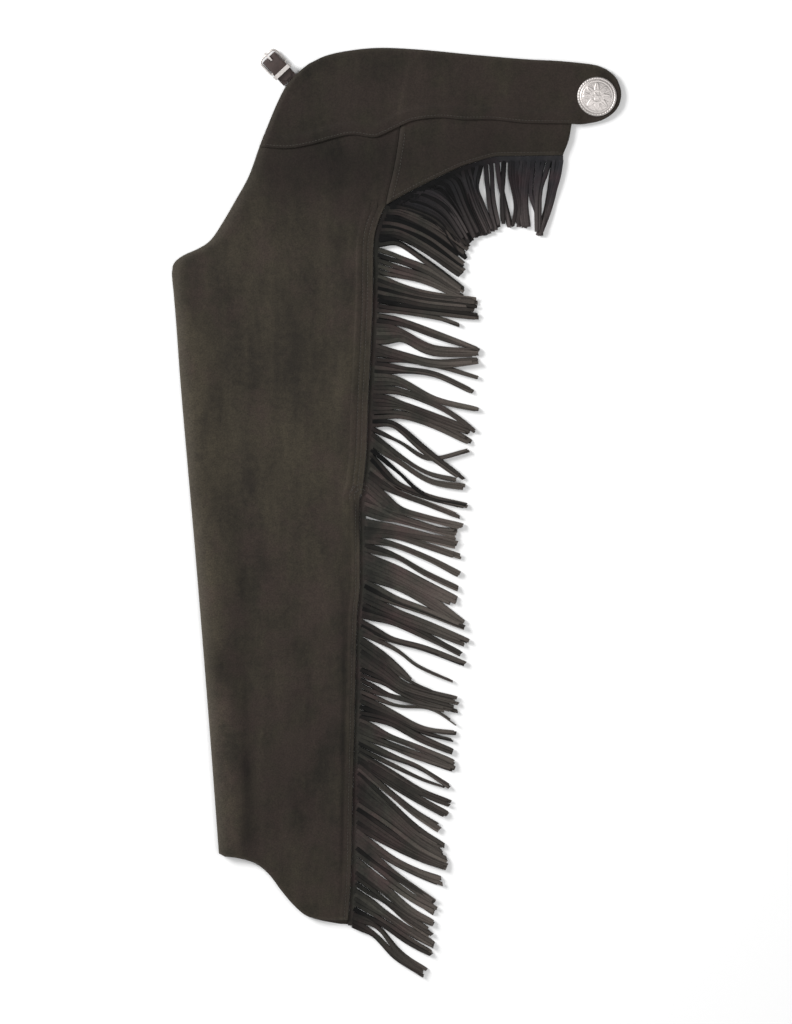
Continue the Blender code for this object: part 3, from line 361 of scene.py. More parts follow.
def place(name, points, faces, material, attributes=(), smooth=True):
    """Mesh object from charted points and faces, each attribute a number for every point."""
    mesh = bpy.data.meshes.new(name)
    mesh.from_pydata(to_frame(points).tolist(), [], [list(map(int, face)) for face in faces])
    for title, values in dict(attributes).items():
        layer = mesh.attributes.new(title, "FLOAT", "POINT")
        layer.data.foreach_set("value", np.asarray(values, np.float32))
    if smooth:
        mesh.shade_smooth()
    mesh.validate()
    mesh.materials.append(material)
    made = bpy.data.objects.new(name, mesh)
    bpy.context.collection.objects.link(made)
    return made


def grid_quads(rows, columns, around=False):
    """Corner numbers of a grid's cells; around closes the last column on the first."""
    r, c = np.meshgrid(np.arange(rows - 1), np.arange(columns if around else columns - 1),
                       indexing="ij")
    after = (c + 1) % columns
    return np.stack([r * columns + c, (r + 1) * columns + c, (r + 1) * columns + after,
                     r * columns + after], axis=-1).reshape(-1, 4)


def border(rows, columns):
    """Numbers of a grid's outer points, once round."""
    ids = np.arange(rows * columns).reshape(rows, columns)
    return np.concatenate([ids[0], ids[1:, -1], ids[-1, -2::-1], ids[-2:0:-1, 0]])


def surface_normal(grid):
    """Cross product of the direction down the grid and the direction across it, unit long."""
    normal = np.cross(np.gradient(grid, axis=0), np.gradient(grid, axis=1))
    return normal / np.linalg.norm(normal, axis=2)[..., None]


def add_sheet(name, grid, material, attributes=(), thickness=SUEDE):
    """Closed sheet: grid + normal * t / 2 above, grid - normal * t / 2 below, t less at its rim."""
    rows, columns = grid.shape[:2]
    half = np.full((rows, columns), thickness / 2)
    half[[0, -1]] *= 0.4
    half[:, [0, -1]] *= 0.4
    normal = surface_normal(grid) * half[..., None]
    points = np.concatenate([(grid + normal).reshape(-1, 3), (grid - normal).reshape(-1, 3)])
    upper = grid_quads(rows, columns)
    rim = border(rows, columns)
    after = np.roll(rim, -1)
    count = rows * columns
    edge = np.stack([rim, after, after + count, rim + count], axis=1)
    faces = np.concatenate([upper, upper[:, ::-1] + count, edge])
    doubled = {title: np.tile(np.ravel(values), 2) for title, values in dict(attributes).items()}
    return place(name, points, faces, material, doubled)


print("mesh helpers ready")

# %% [markdown]
# ## Suede
# Suede is the brushed flesh side of a hide. Its nap lies in patches, lighter where the fibres
# point at the light and darker where a hand has pushed them over, with a fine even tooth all
# over, and near the rim it turns pale: at cut edges and towards the fringe's tips, and as a
# painted highlight along the rounded inseam fold and the hip seam's ridge. One node group holds
# that pattern, and each suede mixes it with its own colours. The group reads object coordinates
# and three numbers that are stored on the mesh: how near a point is to the rim; how dark its
# patch is, which also holds painted shade in creases, grooves and gaps and painted highlights on
# folds and ridges; and how brown it is.

# %% Nap pattern group


def new_group(name, inputs, outputs):
    group = bpy.data.node_groups.new(name, "ShaderNodeTree")
    for title, kind, value in inputs:
        socket = group.interface.new_socket(title, in_out="INPUT", socket_type=kind)
        socket.default_value = value
    for title, kind in outputs:
        group.interface.new_socket(title, in_out="OUTPUT", socket_type=kind)
    return group, group.nodes.new("NodeGroupInput"), group.nodes.new("NodeGroupOutput")


def node(tree, kind, **settings):
    made = tree.nodes.new(kind)
    for title, value in settings.items():
        setattr(made, title, value)
    return made


def link(tree, source, target):
    tree.links.new(source, target)


def noise(tree, coordinates, scale, detail=2.0, rough=0.5):
    made = node(tree, "ShaderNodeTexNoise")
    made.inputs["Scale"].default_value = scale
    made.inputs["Detail"].default_value = detail
    made.inputs["Roughness"].default_value = rough
    link(tree, coordinates, made.inputs["Vector"])
    return made.outputs["Fac"]


def math_node(tree, operation, first, second, third=None):
    made = node(tree, "ShaderNodeMath", operation=operation)
    for socket, value in zip(made.inputs, (first, second, third)):
        if isinstance(value, (int, float)):
            socket.default_value = value
        elif value is not None:
            link(tree, value, socket)
    return made.outputs[0]


def blend_colours(tree, share, first, second, mode="MIX"):
    made = node(tree, "ShaderNodeMix", data_type="RGBA", blend_type=mode)
    for socket, value in ((made.inputs[0], share), (made.inputs[6], first),
                          (made.inputs[7], second)):
        if isinstance(value, (int, float)):
            socket.default_value = value
        elif isinstance(value, tuple):
            socket.default_value = (*value, 1)
        else:
            link(tree, value, socket)
    return made.outputs[2]


def make_nap_group():
    group, given, out = new_group(
        "suede_nap",
        [("Base", "NodeSocketColor", (0.05, 0.04, 0.03, 1)),
         ("Deep", "NodeSocketColor", (0.03, 0.03, 0.02, 1)),
         ("Pale", "NodeSocketColor", (0.1, 0.09, 0.08, 1)),
         ("Warm", "NodeSocketColor", (0.06, 0.04, 0.03, 1)),
         ("Tooth", "NodeSocketFloat", 700.0), ("Patches", "NodeSocketFloat", 9.0)],
        [("Colour", "NodeSocketColor"), ("Height", "NodeSocketFloat"),
         ("Roughness", "NodeSocketFloat")])
    where = node(group, "ShaderNodeTexCoord").outputs["Object"]
    stretch = node(group, "ShaderNodeMapping")
    stretch.inputs["Scale"].default_value = (1.0, 0.22, 1.0)
    stretch.inputs["Rotation"].default_value = (0, 0, math.radians(5))
    link(group, where, stretch.inputs["Vector"])
    brushed = noise(group, stretch.outputs[0], 46.0, 4.0, 0.62)
    patches = node(group, "ShaderNodeTexNoise")
    patches.inputs["Detail"].default_value = 5.0
    patches.inputs["Roughness"].default_value = 0.55
    link(group, given.outputs["Patches"], patches.inputs["Scale"])
    link(group, where, patches.inputs["Vector"])
    tooth = node(group, "ShaderNodeTexNoise")
    tooth.inputs["Detail"].default_value = 3.0
    tooth.inputs["Roughness"].default_value = 0.7
    link(group, given.outputs["Tooth"], tooth.inputs["Scale"])
    link(group, where, tooth.inputs["Vector"])
    hand = noise(group, where, 130.0, 3.0, 0.6)

    lie = math_node(group, "MULTIPLY_ADD", brushed, 0.45,
                    math_node(group, "MULTIPLY", patches.outputs["Fac"], 0.55))
    lie = math_node(group, "MULTIPLY_ADD", hand, 0.25, math_node(group, "SUBTRACT", lie, 0.125))
    spread = node(group, "ShaderNodeMapRange", clamp=True)
    spread.inputs["From Min"].default_value = 0.375
    spread.inputs["From Max"].default_value = 0.625
    link(group, lie, spread.inputs["Value"])
    colour = blend_colours(group, spread.outputs["Result"], given.outputs["Deep"],
                           given.outputs["Base"])
    warmth = node(group, "ShaderNodeMapRange", clamp=True)
    warmth.inputs["From Min"].default_value = 0.42
    warmth.inputs["From Max"].default_value = 0.66
    browner = node(group, "ShaderNodeAttribute", attribute_name="brown").outputs["Fac"]
    link(group, math_node(group, "ADD", noise(group, where, 27.0, 3.0, 0.6), browner),
         warmth.inputs["Value"])
    colour = blend_colours(group, math_node(group, "MULTIPLY", warmth.outputs["Result"], 0.7),
                           colour, given.outputs["Warm"])
    # Near the rim the colour turns pale: paler cut edges, and a painted highlight on the inseam
    # fold and the hip seam's ridge.
    rim = node(group, "ShaderNodeAttribute", attribute_name="rim").outputs["Fac"]
    # The tone attribute holds nap tone together with painted shade and painted highlights; it
    # scales the colour.
    tone_and_shade = node(group, "ShaderNodeAttribute", attribute_name="tone_and_shade").outputs["Fac"]
    colour = blend_colours(group, math_node(group, "MULTIPLY", rim, 0.6), colour,
                           given.outputs["Pale"])
    worn = math_node(group, "SUBTRACT", tooth.outputs["Fac"], 0.5)
    worn = math_node(group, "MULTIPLY_ADD", worn, 1.6, 1.0)
    shade = math_node(group, "MULTIPLY", worn, math_node(group, "ADD", tone_and_shade, 1.0))
    grey = node(group, "ShaderNodeCombineColor")
    for socket in grey.inputs:
        link(group, shade, socket)
    colour = blend_colours(group, 1.0, colour, grey.outputs[0], "MULTIPLY")
    link(group, colour, out.inputs["Colour"])
    height = math_node(group, "MULTIPLY_ADD", hand, 1.6, tooth.outputs["Fac"])
    link(group, height, out.inputs["Height"])
    link(group, math_node(group, "MULTIPLY_ADD", spread.outputs["Result"], -0.08, 0.97),
         out.inputs["Roughness"])
    return group


nap_group = make_nap_group()
print("group", nap_group.name, "has", len(nap_group.nodes), "nodes")

# %% [markdown]
# ## The four finishes
# The panels are espresso suede; the fringe is the same hide, and on the hip a copy of its finish is
# a little darker and more blue, painted shade where the strands are packed and shade each other;
# the buckle strap is smooth leather, close grained; the concho and the buckle are silver with dark
# in the hollows of the engraving.

# %% Finishes
SUEDE_COLOURS = {"Base": (0.0316, 0.0260, 0.0174), "Deep": (0.0158, 0.0131, 0.0100),
                 "Pale": (0.070, 0.061, 0.048), "Warm": (0.0298, 0.0206, 0.0174)}
FRINGE_COLOURS = {"Base": (0.0365, 0.0345, 0.0275), "Deep": (0.017, 0.0165, 0.0140),
                  "Pale": (0.072, 0.061, 0.053), "Warm": (0.045, 0.0275, 0.027)}
# The hip's fringe: darker, bluer colours that are painted shade where its strands are packed.
SHADED_HIP_FRINGE_COLOURS = {"Base": (0.0160, 0.0150, 0.0160), "Deep": (0.0070, 0.0072, 0.0088),
                      "Pale": (0.043, 0.036, 0.034), "Warm": (0.020, 0.0125, 0.0135)}


def make_suede(name, colours, tooth, patches, sheen):
    made, tree, shader = make_material(name)
    nap = node(tree, "ShaderNodeGroup", node_tree=nap_group)
    for title, colour in colours.items():
        nap.inputs[title].default_value = (*colour, 1)
    nap.inputs["Tooth"].default_value = tooth
    nap.inputs["Patches"].default_value = patches
    bump = node(tree, "ShaderNodeBump")
    bump.inputs["Strength"].default_value = 0.5
    bump.inputs["Distance"].default_value = 0.0005
    link(tree, nap.outputs["Height"], bump.inputs["Height"])
    link(tree, bump.outputs["Normal"], shader.inputs["Normal"])
    link(tree, nap.outputs["Colour"], shader.inputs["Base Color"])
    link(tree, nap.outputs["Roughness"], shader.inputs["Roughness"])
    shader.inputs["Specular IOR Level"].default_value = 0.2
    shader.inputs["Sheen Weight"].default_value = sheen
    shader.inputs["Sheen Roughness"].default_value = 0.6
    return made


suede = make_suede("suede", SUEDE_COLOURS, 620.0, 8.0, 0.03)
fringe_suede = make_suede("fringe_suede", FRINGE_COLOURS, 760.0, 22.0, 0.03)
shaded_hip_fringe_suede = make_suede("shaded_hip_fringe_suede", SHADED_HIP_FRINGE_COLOURS, 760.0, 22.0, 0.02)


def make_leather():
    made, tree, shader = make_material("strap_leather")
    where = node(tree, "ShaderNodeTexCoord").outputs["Object"]
    grain = node(tree, "ShaderNodeTexVoronoi")
    grain.inputs["Scale"].default_value = 900.0
    link(tree, where, grain.inputs["Vector"])
    worn = noise(tree, where, 160.0, 3.0)
    colour = blend_colours(tree, worn, (0.022, 0.0145, 0.013), (0.054, 0.037, 0.033))
    link(tree, colour, shader.inputs["Base Color"])
    bump = node(tree, "ShaderNodeBump")
    bump.inputs["Strength"].default_value = 0.4
    bump.inputs["Distance"].default_value = 0.0003
    link(tree, grain.outputs["Distance"], bump.inputs["Height"])
    link(tree, bump.outputs["Normal"], shader.inputs["Normal"])
    link(tree, math_node(tree, "MULTIPLY_ADD", worn, 0.25, 0.48), shader.inputs["Roughness"])
    shader.inputs["Specular IOR Level"].default_value = 0.25
    return made


def make_silver():
    made, tree, shader = make_material("silver")
    where = node(tree, "ShaderNodeTexCoord").outputs["Object"]
    hollow = node(tree, "ShaderNodeAttribute", attribute_name="hollow").outputs["Fac"]
    haze = noise(tree, where, 420.0, 3.0)
    bright = blend_colours(tree, haze, (0.48, 0.45, 0.43), (0.62, 0.58, 0.56))
    colour = blend_colours(tree, hollow, bright, (0.36, 0.335, 0.32))
    link(tree, colour, shader.inputs["Base Color"])
    shader.inputs["Metallic"].default_value = 1.0
    link(tree, math_node(tree, "MULTIPLY_ADD", haze, 0.2, 0.40), shader.inputs["Roughness"])
    scratch = noise(tree, where, 1500.0, 2.0)
    bump = node(tree, "ShaderNodeBump")
    bump.inputs["Strength"].default_value = 0.15
    bump.inputs["Distance"].default_value = 0.0002
    link(tree, scratch, bump.inputs["Height"])
    link(tree, bump.outputs["Normal"], shader.inputs["Normal"])
    return made


leather, silver = make_leather(), make_silver()
print("finishes", [m.name for m in (suede, fringe_suede, leather, silver)])

# %% [markdown]
# ## Seams, band and rims as heights
# Where pieces join, the suede steps: the yoke lies over the panels that lap under it, the stitched
# band stands up beside the outer seam, and the seam of the hip is a low ridge. Each of these is a
# function of the distance to its line, so a stitch can be laid on exactly the same height.

# %% Relief of seams
YOKE_SEAM_LINE = join(smooth_line(YOKE_SEAM_LEG), smooth_line(YOKE_SEAM_HIP),
                      smooth_line(TAB_UNDERSIDE))
OUTER_LINE = join(smooth_line(OUTER_SEAM_TOP), smooth_line(OUTER_SEAM))
HIP_SEAM_LINE = smooth_line(HIP_SEAM)
HIP_ARC_LINE = smooth_line(HIP_ARC)
BAND_STEP = 12.0
LAP_CLEAR, LAP_FADE = 12.0, 17.0


def groove(distance, at, depth, half_width=1.1):
    """Dent of a stitch line: -depth * exp(-((distance - at) / half_width)^2)."""
    return -depth * np.exp(-((distance - at) / half_width) ** 2)


def band_height(x, y):
    """Zip band: raised 1.1 mm and 20 mm wide above the step, 1 mm and 9 mm wide below it."""
    off = distance_to(OUTER_LINE, x, y)
    upper = 1.1 * (1 - smoothstep(off, 18.6, 21.0)) + groove(off, 12.4, 0.7)
    upper += groove(off, 6.6, 0.6)
    lower = 1.0 * (1 - smoothstep(off, 7.6, 9.6)) + groove(off, 4.8, 0.5)
    lower += 0.4 * np.exp(-((off - 15) / 3.4) ** 2)
    share = smoothstep(y, BAND_STEP - 1.5, BAND_STEP + 1.5)
    return np.where(y < 368, share * upper + (1 - share) * lower, 0.0)


def leg_top(x, y):
    """Middle height of the leg's suede away from the inseam fold."""
    hip_seam = distance_to(HIP_SEAM_LINE, x, y)
    ridge = groove(hip_seam, 1.0, 0.35) + 0.3 * np.exp(-((hip_seam - 4) / 2) ** 2)
    rise = band_height(x, y) * smoothstep(hip_seam, 0, 12)
    return pile_height(x, y) + small_waves(x, y) + SEAM_GAP + SUEDE / 2 + rise + ridge


def hip_top(x, y):
    seam, arc = distance_to(HIP_SEAM_LINE, x, y), distance_to(HIP_ARC_LINE, x, y)
    relief = 0.9 * np.exp(-((seam - 3.4) / 2.4) ** 2) + groove(seam, 7.0, 0.35)
    relief = relief + groove(arc, 4.0, 0.4) + groove(arc, 12.0, 0.25)
    clear = smoothstep(distance_to(YOKE_SEAM_LINE, x, y), 0, 8)
    return pile_height(x, y) + small_waves(x, y) + SEAM_GAP + SUEDE / 2 + relief * clear


def yoke_top(x, y):
    seam = distance_to(YOKE_SEAM_LINE, x, y)
    raised = (SUEDE + SEAM_GAP + 0.35) * (1 - smoothstep(seam, LAP_CLEAR, LAP_FADE))
    on_tab = smoothstep(x, 214, 226)
    dent = groove(seam, 3.2, 0.3) * (1 - on_tab)
    under = raised * (1 - on_tab)
    return pile_height(x, y) + small_waves(x, y) + SEAM_GAP + SUEDE / 2 + under + dent


def lay(grid, top):
    """Grid with its height from the function top(x, y)."""
    return np.dstack([grid, top(grid[..., 0], grid[..., 1])])


print("yoke lies", round(float(yoke_top(np.array([0.0]), np.array([500.0]))[0]), 2), "mm high")

# %% [markdown]
# ## The leg
# The leg is one hide wrapped round the leg, so its left side isn't an edge: the suede turns over
# the inseam fold in a tight arc and runs back under itself. Above the crotch the turn opens out to
# a flat cut edge. The section beside the fold is therefore an arc whose angle grows with the row.

# %% Build the leg
ROLL_CENTRE, ROLL_RADIUS, ROLL_TAIL, FLAT_TAIL = 2.7, 1.75, 3.4, 1.5
ROLL_STEPS = 10
ROLL_TOP = np.array([3.4, 4.6, 5.8, 6.8])
ROLL_RISE = 36.0
SPOT_COLUMNS = ("x", "y", "reach_x", "reach_y", "shade")
# Spots of darker or lighter nap, and of painted shade in the creases and in the gap at the band's
# step.
TONE_AND_SHADE_SPOTS = [
    (-80, 400, 110, 48, -0.20), (-40, 340, 50, 34, -0.12), (-72, 322, 9, 16, -0.28),
    (-120, 335, 40, 14, -0.12), (-150, 190, 90, 130, 0.10), (-140, 40, 90, 120, 0.10),
    (-60, 150, 22, 160, 0.08), (-150, -330, 90, 120, -0.18), (-110, -70, 40, 60, 0.05),
    (-46, -4, 6, 24, -0.60), (-183, -385, 7, 26, -0.35), (-181, -300, 6, 26, -0.28),
    (-118, -158, 20, 4, -0.16), (-119, -218, 7, 3, -0.22), (-123, -344, 7, 26, -0.20),
    (-105, -344, 6, 14, -0.14), (130, 448, 70, 18, -0.06), (150, 512, 80, 30, 0.04),
    (-190, 160, 8, 60, -0.10), (30, 520, 14, 40, 0.05), (-110, 485, 50, 60, -0.12),
    (105, 428, 90, 36, -0.13), (-60, 425, 70, 30, -0.18), (-55, -330, 10, 150, -0.24),
    (-40, 220, 14, 110, -0.08),
]
STROKE_COLUMNS = ("from_x", "from_y", "to_x", "to_y", "half_width", "height")
# Strokes of painted shade along creases and the band's groove, and painted highlights along the
# inseam fold, the band's ridges and a crease of the yoke.
SHADE_AND_HIGHLIGHT_STROKES = [
    (-204, 280, -200, 215, 6, -0.16), (-199, 158, -166, 150, 4, -0.22),
    (-200, 130, -196, 10, 7, -0.10), (-196, 30, -178, -110, 10, -0.16),
    (-190, -60, -170, -190, 9, -0.22), (-186, -160, -180, -270, 6, -0.24),
    (-182, -290, -176, -410, 10, -0.26), (-254, 250, -216, -380, 9, 0.16),
    (-249, 250, -232, 42, 16, 0.28), (-230, 14, -215, -170, 16, 0.48),
    (-212, -198, -194, -420, 14, 0.74),
    (-48, 330, -51, 200, 3.4, 0.22), (-56, -100, -59, -470, 2.0, 0.16),
    (-63, -70, -66, -460, 2.4, -0.26), (-240, 240, -190, 330, 14, 0.08),
    (18, 552, 2, 474, 2.2, 0.14), (-78, 300, -64, -60, 7, 0.10),
]


def tone_and_shade_of(x, y):
    """Darker over the yoke and hip, from y 330 to 420, plus soft spots,
    shade * exp(-((x - x0) / rx)^2 - ((y - y0) / ry)^2), of nap tone and of painted shade, plus soft
    strokes of painted shade and painted highlights.
    """
    total = crease_height(x, y, SHADE_AND_HIGHLIGHT_STROKES) - 0.24 * smoothstep(y, 330, 420)
    for row in TONE_AND_SHADE_SPOTS:
        spot = dict(zip(SPOT_COLUMNS, row))
        total += spot["shade"] * np.exp(-((x - spot["x"]) / spot["reach_x"]) ** 2
                                        - ((y - spot["y"]) / spot["reach_y"]) ** 2)
    return total


BROWN_SPOTS = [
    (-60, 500, 60, 40, 0.12), (40, 505, 60, 40, 0.10), (170, 505, 70, 35, 0.14),
    (120, 440, 90, 30, 0.14), (-90, 400, 90, 40, 0.10), (-60, 250, 40, 60, 0.06),
    (-130, 200, 80, 110, -0.18), (-140, 30, 70, 80, -0.10), (-120, -120, 60, 60, 0.08),
    (-130, -260, 60, 60, 0.06), (-120, -400, 60, 60, 0.08), (-232, 60, 24, 260, -0.12),
]


def brown_of(x, y):
    """Where the nap is browner (above 0) or greener (below 0), as soft spots like the tones."""
    total = 0 * x
    for row in BROWN_SPOTS:
        spot = dict(zip(SPOT_COLUMNS, row))
        total += spot["shade"] * np.exp(-((x - spot["x"]) / spot["reach_x"]) ** 2
                                        - ((y - spot["y"]) / spot["reach_y"]) ** 2)
    return total


def rolled_share(y):
    """0 above the crotch corner, 1 from a little below it."""
    return 1 - smoothstep(y, INSEAM_FOLD[0][1] - ROLL_RISE, INSEAM_FOLD[0][1])


def roll_section(share):
    """Arc beside the fold, for each row: (in from the outline, down from the top). The turned
    angle is share * pi; a flat tail follows the arc at its far end."""
    turn = share[:, None] * math.pi
    lean = turn * np.linspace(1, 0, ROLL_STEPS + 1)
    spread = (1 - share[:, None]) ** 3 * np.linspace(FLAT_TAIL - ROLL_CENTRE, 0, ROLL_STEPS + 1)
    inward = ROLL_CENTRE - ROLL_RADIUS * np.sin(lean) + spread
    down = ROLL_RADIUS * (1 - np.cos(lean))
    tail = ROLL_TAIL * share[:, None] ** 6 + FLAT_TAIL * (1 - share[:, None])
    inward = np.hstack([inward[:, :1] - tail * np.cos(turn), inward])
    down = np.hstack([down[:, :1] + tail * np.sin(turn), down])
    flat = np.tile(ROLL_TOP, (len(share), 1))
    return np.hstack([inward, flat]), np.hstack([down, 0 * flat])


def build_leg():
    plan = np.vstack([yoke_flat[LAP_FROM:-1, :LEG_COLUMNS], leg_flat])
    middle = lay(plan, leg_top)
    in_from_fold = np.linalg.norm(plan - plan[:, :1], axis=2)
    share = rolled_share(plan[:, 0, 1])
    near = share[:, None] * np.exp(-(np.maximum(in_from_fold - FIRST_COLUMN, 0)
                                     / FOLD_SPREAD) ** 2)
    middle[..., 2] += FOLD_LOFT * near
    inward, down = roll_section(share)
    inwards = plan[:, 1] - plan[:, 0]
    inwards /= np.linalg.norm(inwards, axis=1)[:, None]
    edge = np.dstack([plan[:, :1] + inwards[:, None] * inward[..., None],
                      middle[:, 1:2, 2] - down])
    sheet = np.hstack([edge, middle[:, 1:]])
    from_fold = np.hstack([inward, in_from_fold[:, 1:]])
    to_edge = np.minimum(distance_to(OUTER_LINE, sheet[..., 0], sheet[..., 1]),
                         distance_to(smooth_line(HEM), sheet[..., 0], sheet[..., 1]))
    # Paler at the cut edges, and a painted highlight along the rounded inseam fold.
    rim = np.exp(-(from_fold / 9) ** 2) * 0.95 + np.exp(-(to_edge / 2.2) ** 2) * 0.5
    return add_sheet("leg_suede", sheet, suede,
                     {"rim": rim, "tone_and_shade": tone_and_shade_of(sheet[..., 0], sheet[..., 1]),
                      "brown": brown_of(sheet[..., 0], sheet[..., 1])})


leg_suede = build_leg()
print("leg", len(leg_suede.data.polygons), "faces")

# %% [markdown]
# ## Hip panel and yoke
# The hip panel butts against the leg and laps under the yoke. The yoke is the belt: one strip of
# suede from the front edge to the rounded tab, resting on what is folded under, and stepping up
# over the edges of the two panels that it is sewn to.

# %% Build the hip and the yoke


def build_hip():
    plan = np.vstack([yoke_flat[LAP_FROM:-1, LEG_COLUMNS - 1:HIP_END], hip_flat])
    plan[:, 0, 0] += SEAM_GAP
    sheet = lay(plan, hip_top)
    x, y = sheet[..., 0], sheet[..., 1]
    # Paler along the arc's cut edge, and a painted highlight on the seam's raised ridge.
    rim = (np.exp(-(distance_to(HIP_ARC_LINE, x, y) / 2.2) ** 2) * 0.6
           + np.exp(-((distance_to(HIP_SEAM_LINE, x, y) - 3.4) / 2) ** 2) * 0.35)
    return add_sheet("hip_suede", sheet, suede,
                     {"rim": rim, "tone_and_shade": tone_and_shade_of(x, y), "brown": brown_of(x, y)})


def build_yoke():
    sheet = lay(yoke_flat, yoke_top)
    x, y = sheet[..., 0], sheet[..., 1]
    outer = join(smooth_line(YOKE_FRONT), smooth_line(WAIST_EDGE), smooth_line(TAB_END))
    rim = np.exp(-(distance_to(outer, x, y) / 3.0) ** 2) * 0.6
    return add_sheet("yoke_suede", sheet, suede,
                     {"rim": rim, "tone_and_shade": tone_and_shade_of(x, y), "brown": brown_of(x, y)})


hip_suede, yoke_suede = build_hip(), build_yoke()
print("hip", len(hip_suede.data.polygons), "yoke", len(yoke_suede.data.polygons), "faces")

# %% [markdown]
# ## What is folded under
# The back of the leg and the whole right half lie underneath. Nobody sees more of them than their
# edges, so they are one rounded solid: its outline is stacked lips of suede, and beside the inseam
# it is the round of the fold. Its flat underside rests on the floor.

# %% Build the folded layers
EDGE_COLUMNS = ("cut_height", "cut_inset", "fold_height", "fold_inset")
LAYERED_EDGE = [
    (0.00, 0.9, 0.00, 1.8), (0.03, 0.3, 0.03, 0.8), (0.08, 0.1, 0.06, 0.5),
    (0.17, 0.0, 0.11, 0.2), (0.25, 0.1, 0.17, 0.1), (0.30, 0.5, 0.23, 0.0),
    (0.33, 1.0, 0.28, 0.0), (0.36, 0.5, 0.34, 0.0), (0.41, 0.2, 0.39, 0.1),
    (0.50, 0.1, 0.45, 0.3), (0.58, 0.2, 0.50, 0.5), (0.63, 0.6, 0.54, 0.9),
    (0.66, 1.1, 0.56, 1.6), (0.69, 0.6, 0.565, 4.0), (0.74, 0.3, 0.57, 6.6),
    (0.83, 0.2, 0.68, 6.6), (0.92, 0.4, 0.79, 6.7), (0.96, 0.9, 0.95, 7.4),
]
HEM_PEEK_AT, HEM_PEEK_REACH, HEM_PEEK = (-58, -489), 26.0, 6.0


def build_folded_under():
    grids = (yoke_flat, leg_flat, hip_flat)
    stacked = np.vstack([grid.reshape(-1, 2) for grid in grids])
    plan, ids = np.unique(np.round(stacked, 5), axis=0, return_inverse=True)
    ids = ids.ravel()
    splits = np.cumsum([grid[..., 0].size for grid in grids])[:-1]
    yoke_ids, leg_ids, hip_ids = (part.reshape(grid.shape[:2])
                                  for part, grid in zip(np.split(ids, splits), grids))
    cells = [part.ravel()[grid_quads(*part.shape)] for part in (yoke_ids, leg_ids, hip_ids)]
    ring = np.concatenate([yoke_ids[0], yoke_ids[1:, -1], yoke_ids[-1, -2:HIP_END - 2:-1],
                           hip_ids[1:, -1], hip_ids[-1, -2::-1], leg_ids[HIP_ROWS + 1:, -1],
                           leg_ids[-1, -2::-1], leg_ids[-2::-1, 0], yoke_ids[-2:0:-1, 0]])
    rim = plan[ring]
    tangent = np.roll(rim, -1, axis=0) - np.roll(rim, 1, axis=0)
    outward = np.column_stack([-tangent[:, 1], tangent[:, 0]])
    outward /= np.linalg.norm(outward, axis=1)[:, None]
    on_fold = np.isin(ring, leg_ids[:, 0])
    share = rolled_share(rim[:, 1]) * on_fold
    in_from_fold = distance_to(smooth_line(INSEAM_FOLD), plan[:, 0], plan[:, 1])
    loft = (rolled_share(plan[:, 1]) * np.isin(np.arange(len(plan)), leg_ids)
            * np.exp(-(np.maximum(in_from_fold - FIRST_COLUMN, 0) / FOLD_SPREAD) ** 2))
    top = pile_height(plan[:, 0], plan[:, 1]) + FOLD_LOFT * loft
    cut_height, cut_inset, fold_height, fold_inset = np.array(LAYERED_EDGE).T[..., None]
    inset = (1 - np.sqrt(share)) * cut_inset + np.sqrt(share) * fold_inset
    near = loft[ring]
    height = ((1 - near) * cut_height + near * fold_height) * top[ring]
    peek = np.exp(-(np.linalg.norm(rim - HEM_PEEK_AT, axis=1) / HEM_PEEK_REACH) ** 2)
    peek = peek * (rim[:, 1] <= HEM_PEEK_AT[1] + 12) * (1 - np.clip(cut_height * 1.1, 0, 1))
    wall = np.dstack([rim - outward * inset[..., None], height])
    wall[..., 1] -= HEM_PEEK * peek
    levels, count, around = len(LAYERED_EDGE), len(plan), len(ring)
    body, floor = np.column_stack([plan, top - 0.02]), np.column_stack([plan, 0 * top])
    body[ring], floor[ring] = wall[-1], wall[0]
    walls = 2 * count + grid_quads(levels, around, around=True)
    lowest, highest = walls < 2 * count + around, walls >= 2 * count + (levels - 1) * around
    spot = ring[(walls - 2 * count) % around]
    walls = np.where(highest, spot, np.where(lowest, spot + count, walls - around))
    points = np.vstack([body, floor, wall[1:-1].reshape(-1, 3)])
    faces = np.vstack([*cells, *[cell[:, ::-1] + count for cell in cells], walls[:, ::-1]])
    worn = np.concatenate([np.zeros(2 * count), np.full(len(points) - 2 * count, 0.15)])
    return place("folded_under", points, faces, suede,
                 {"rim": worn, "tone_and_shade": tone_and_shade_of(points[:, 0], points[:, 1])})


folded_under = build_folded_under()
print("folded layers", len(folded_under.data.polygons), "faces")
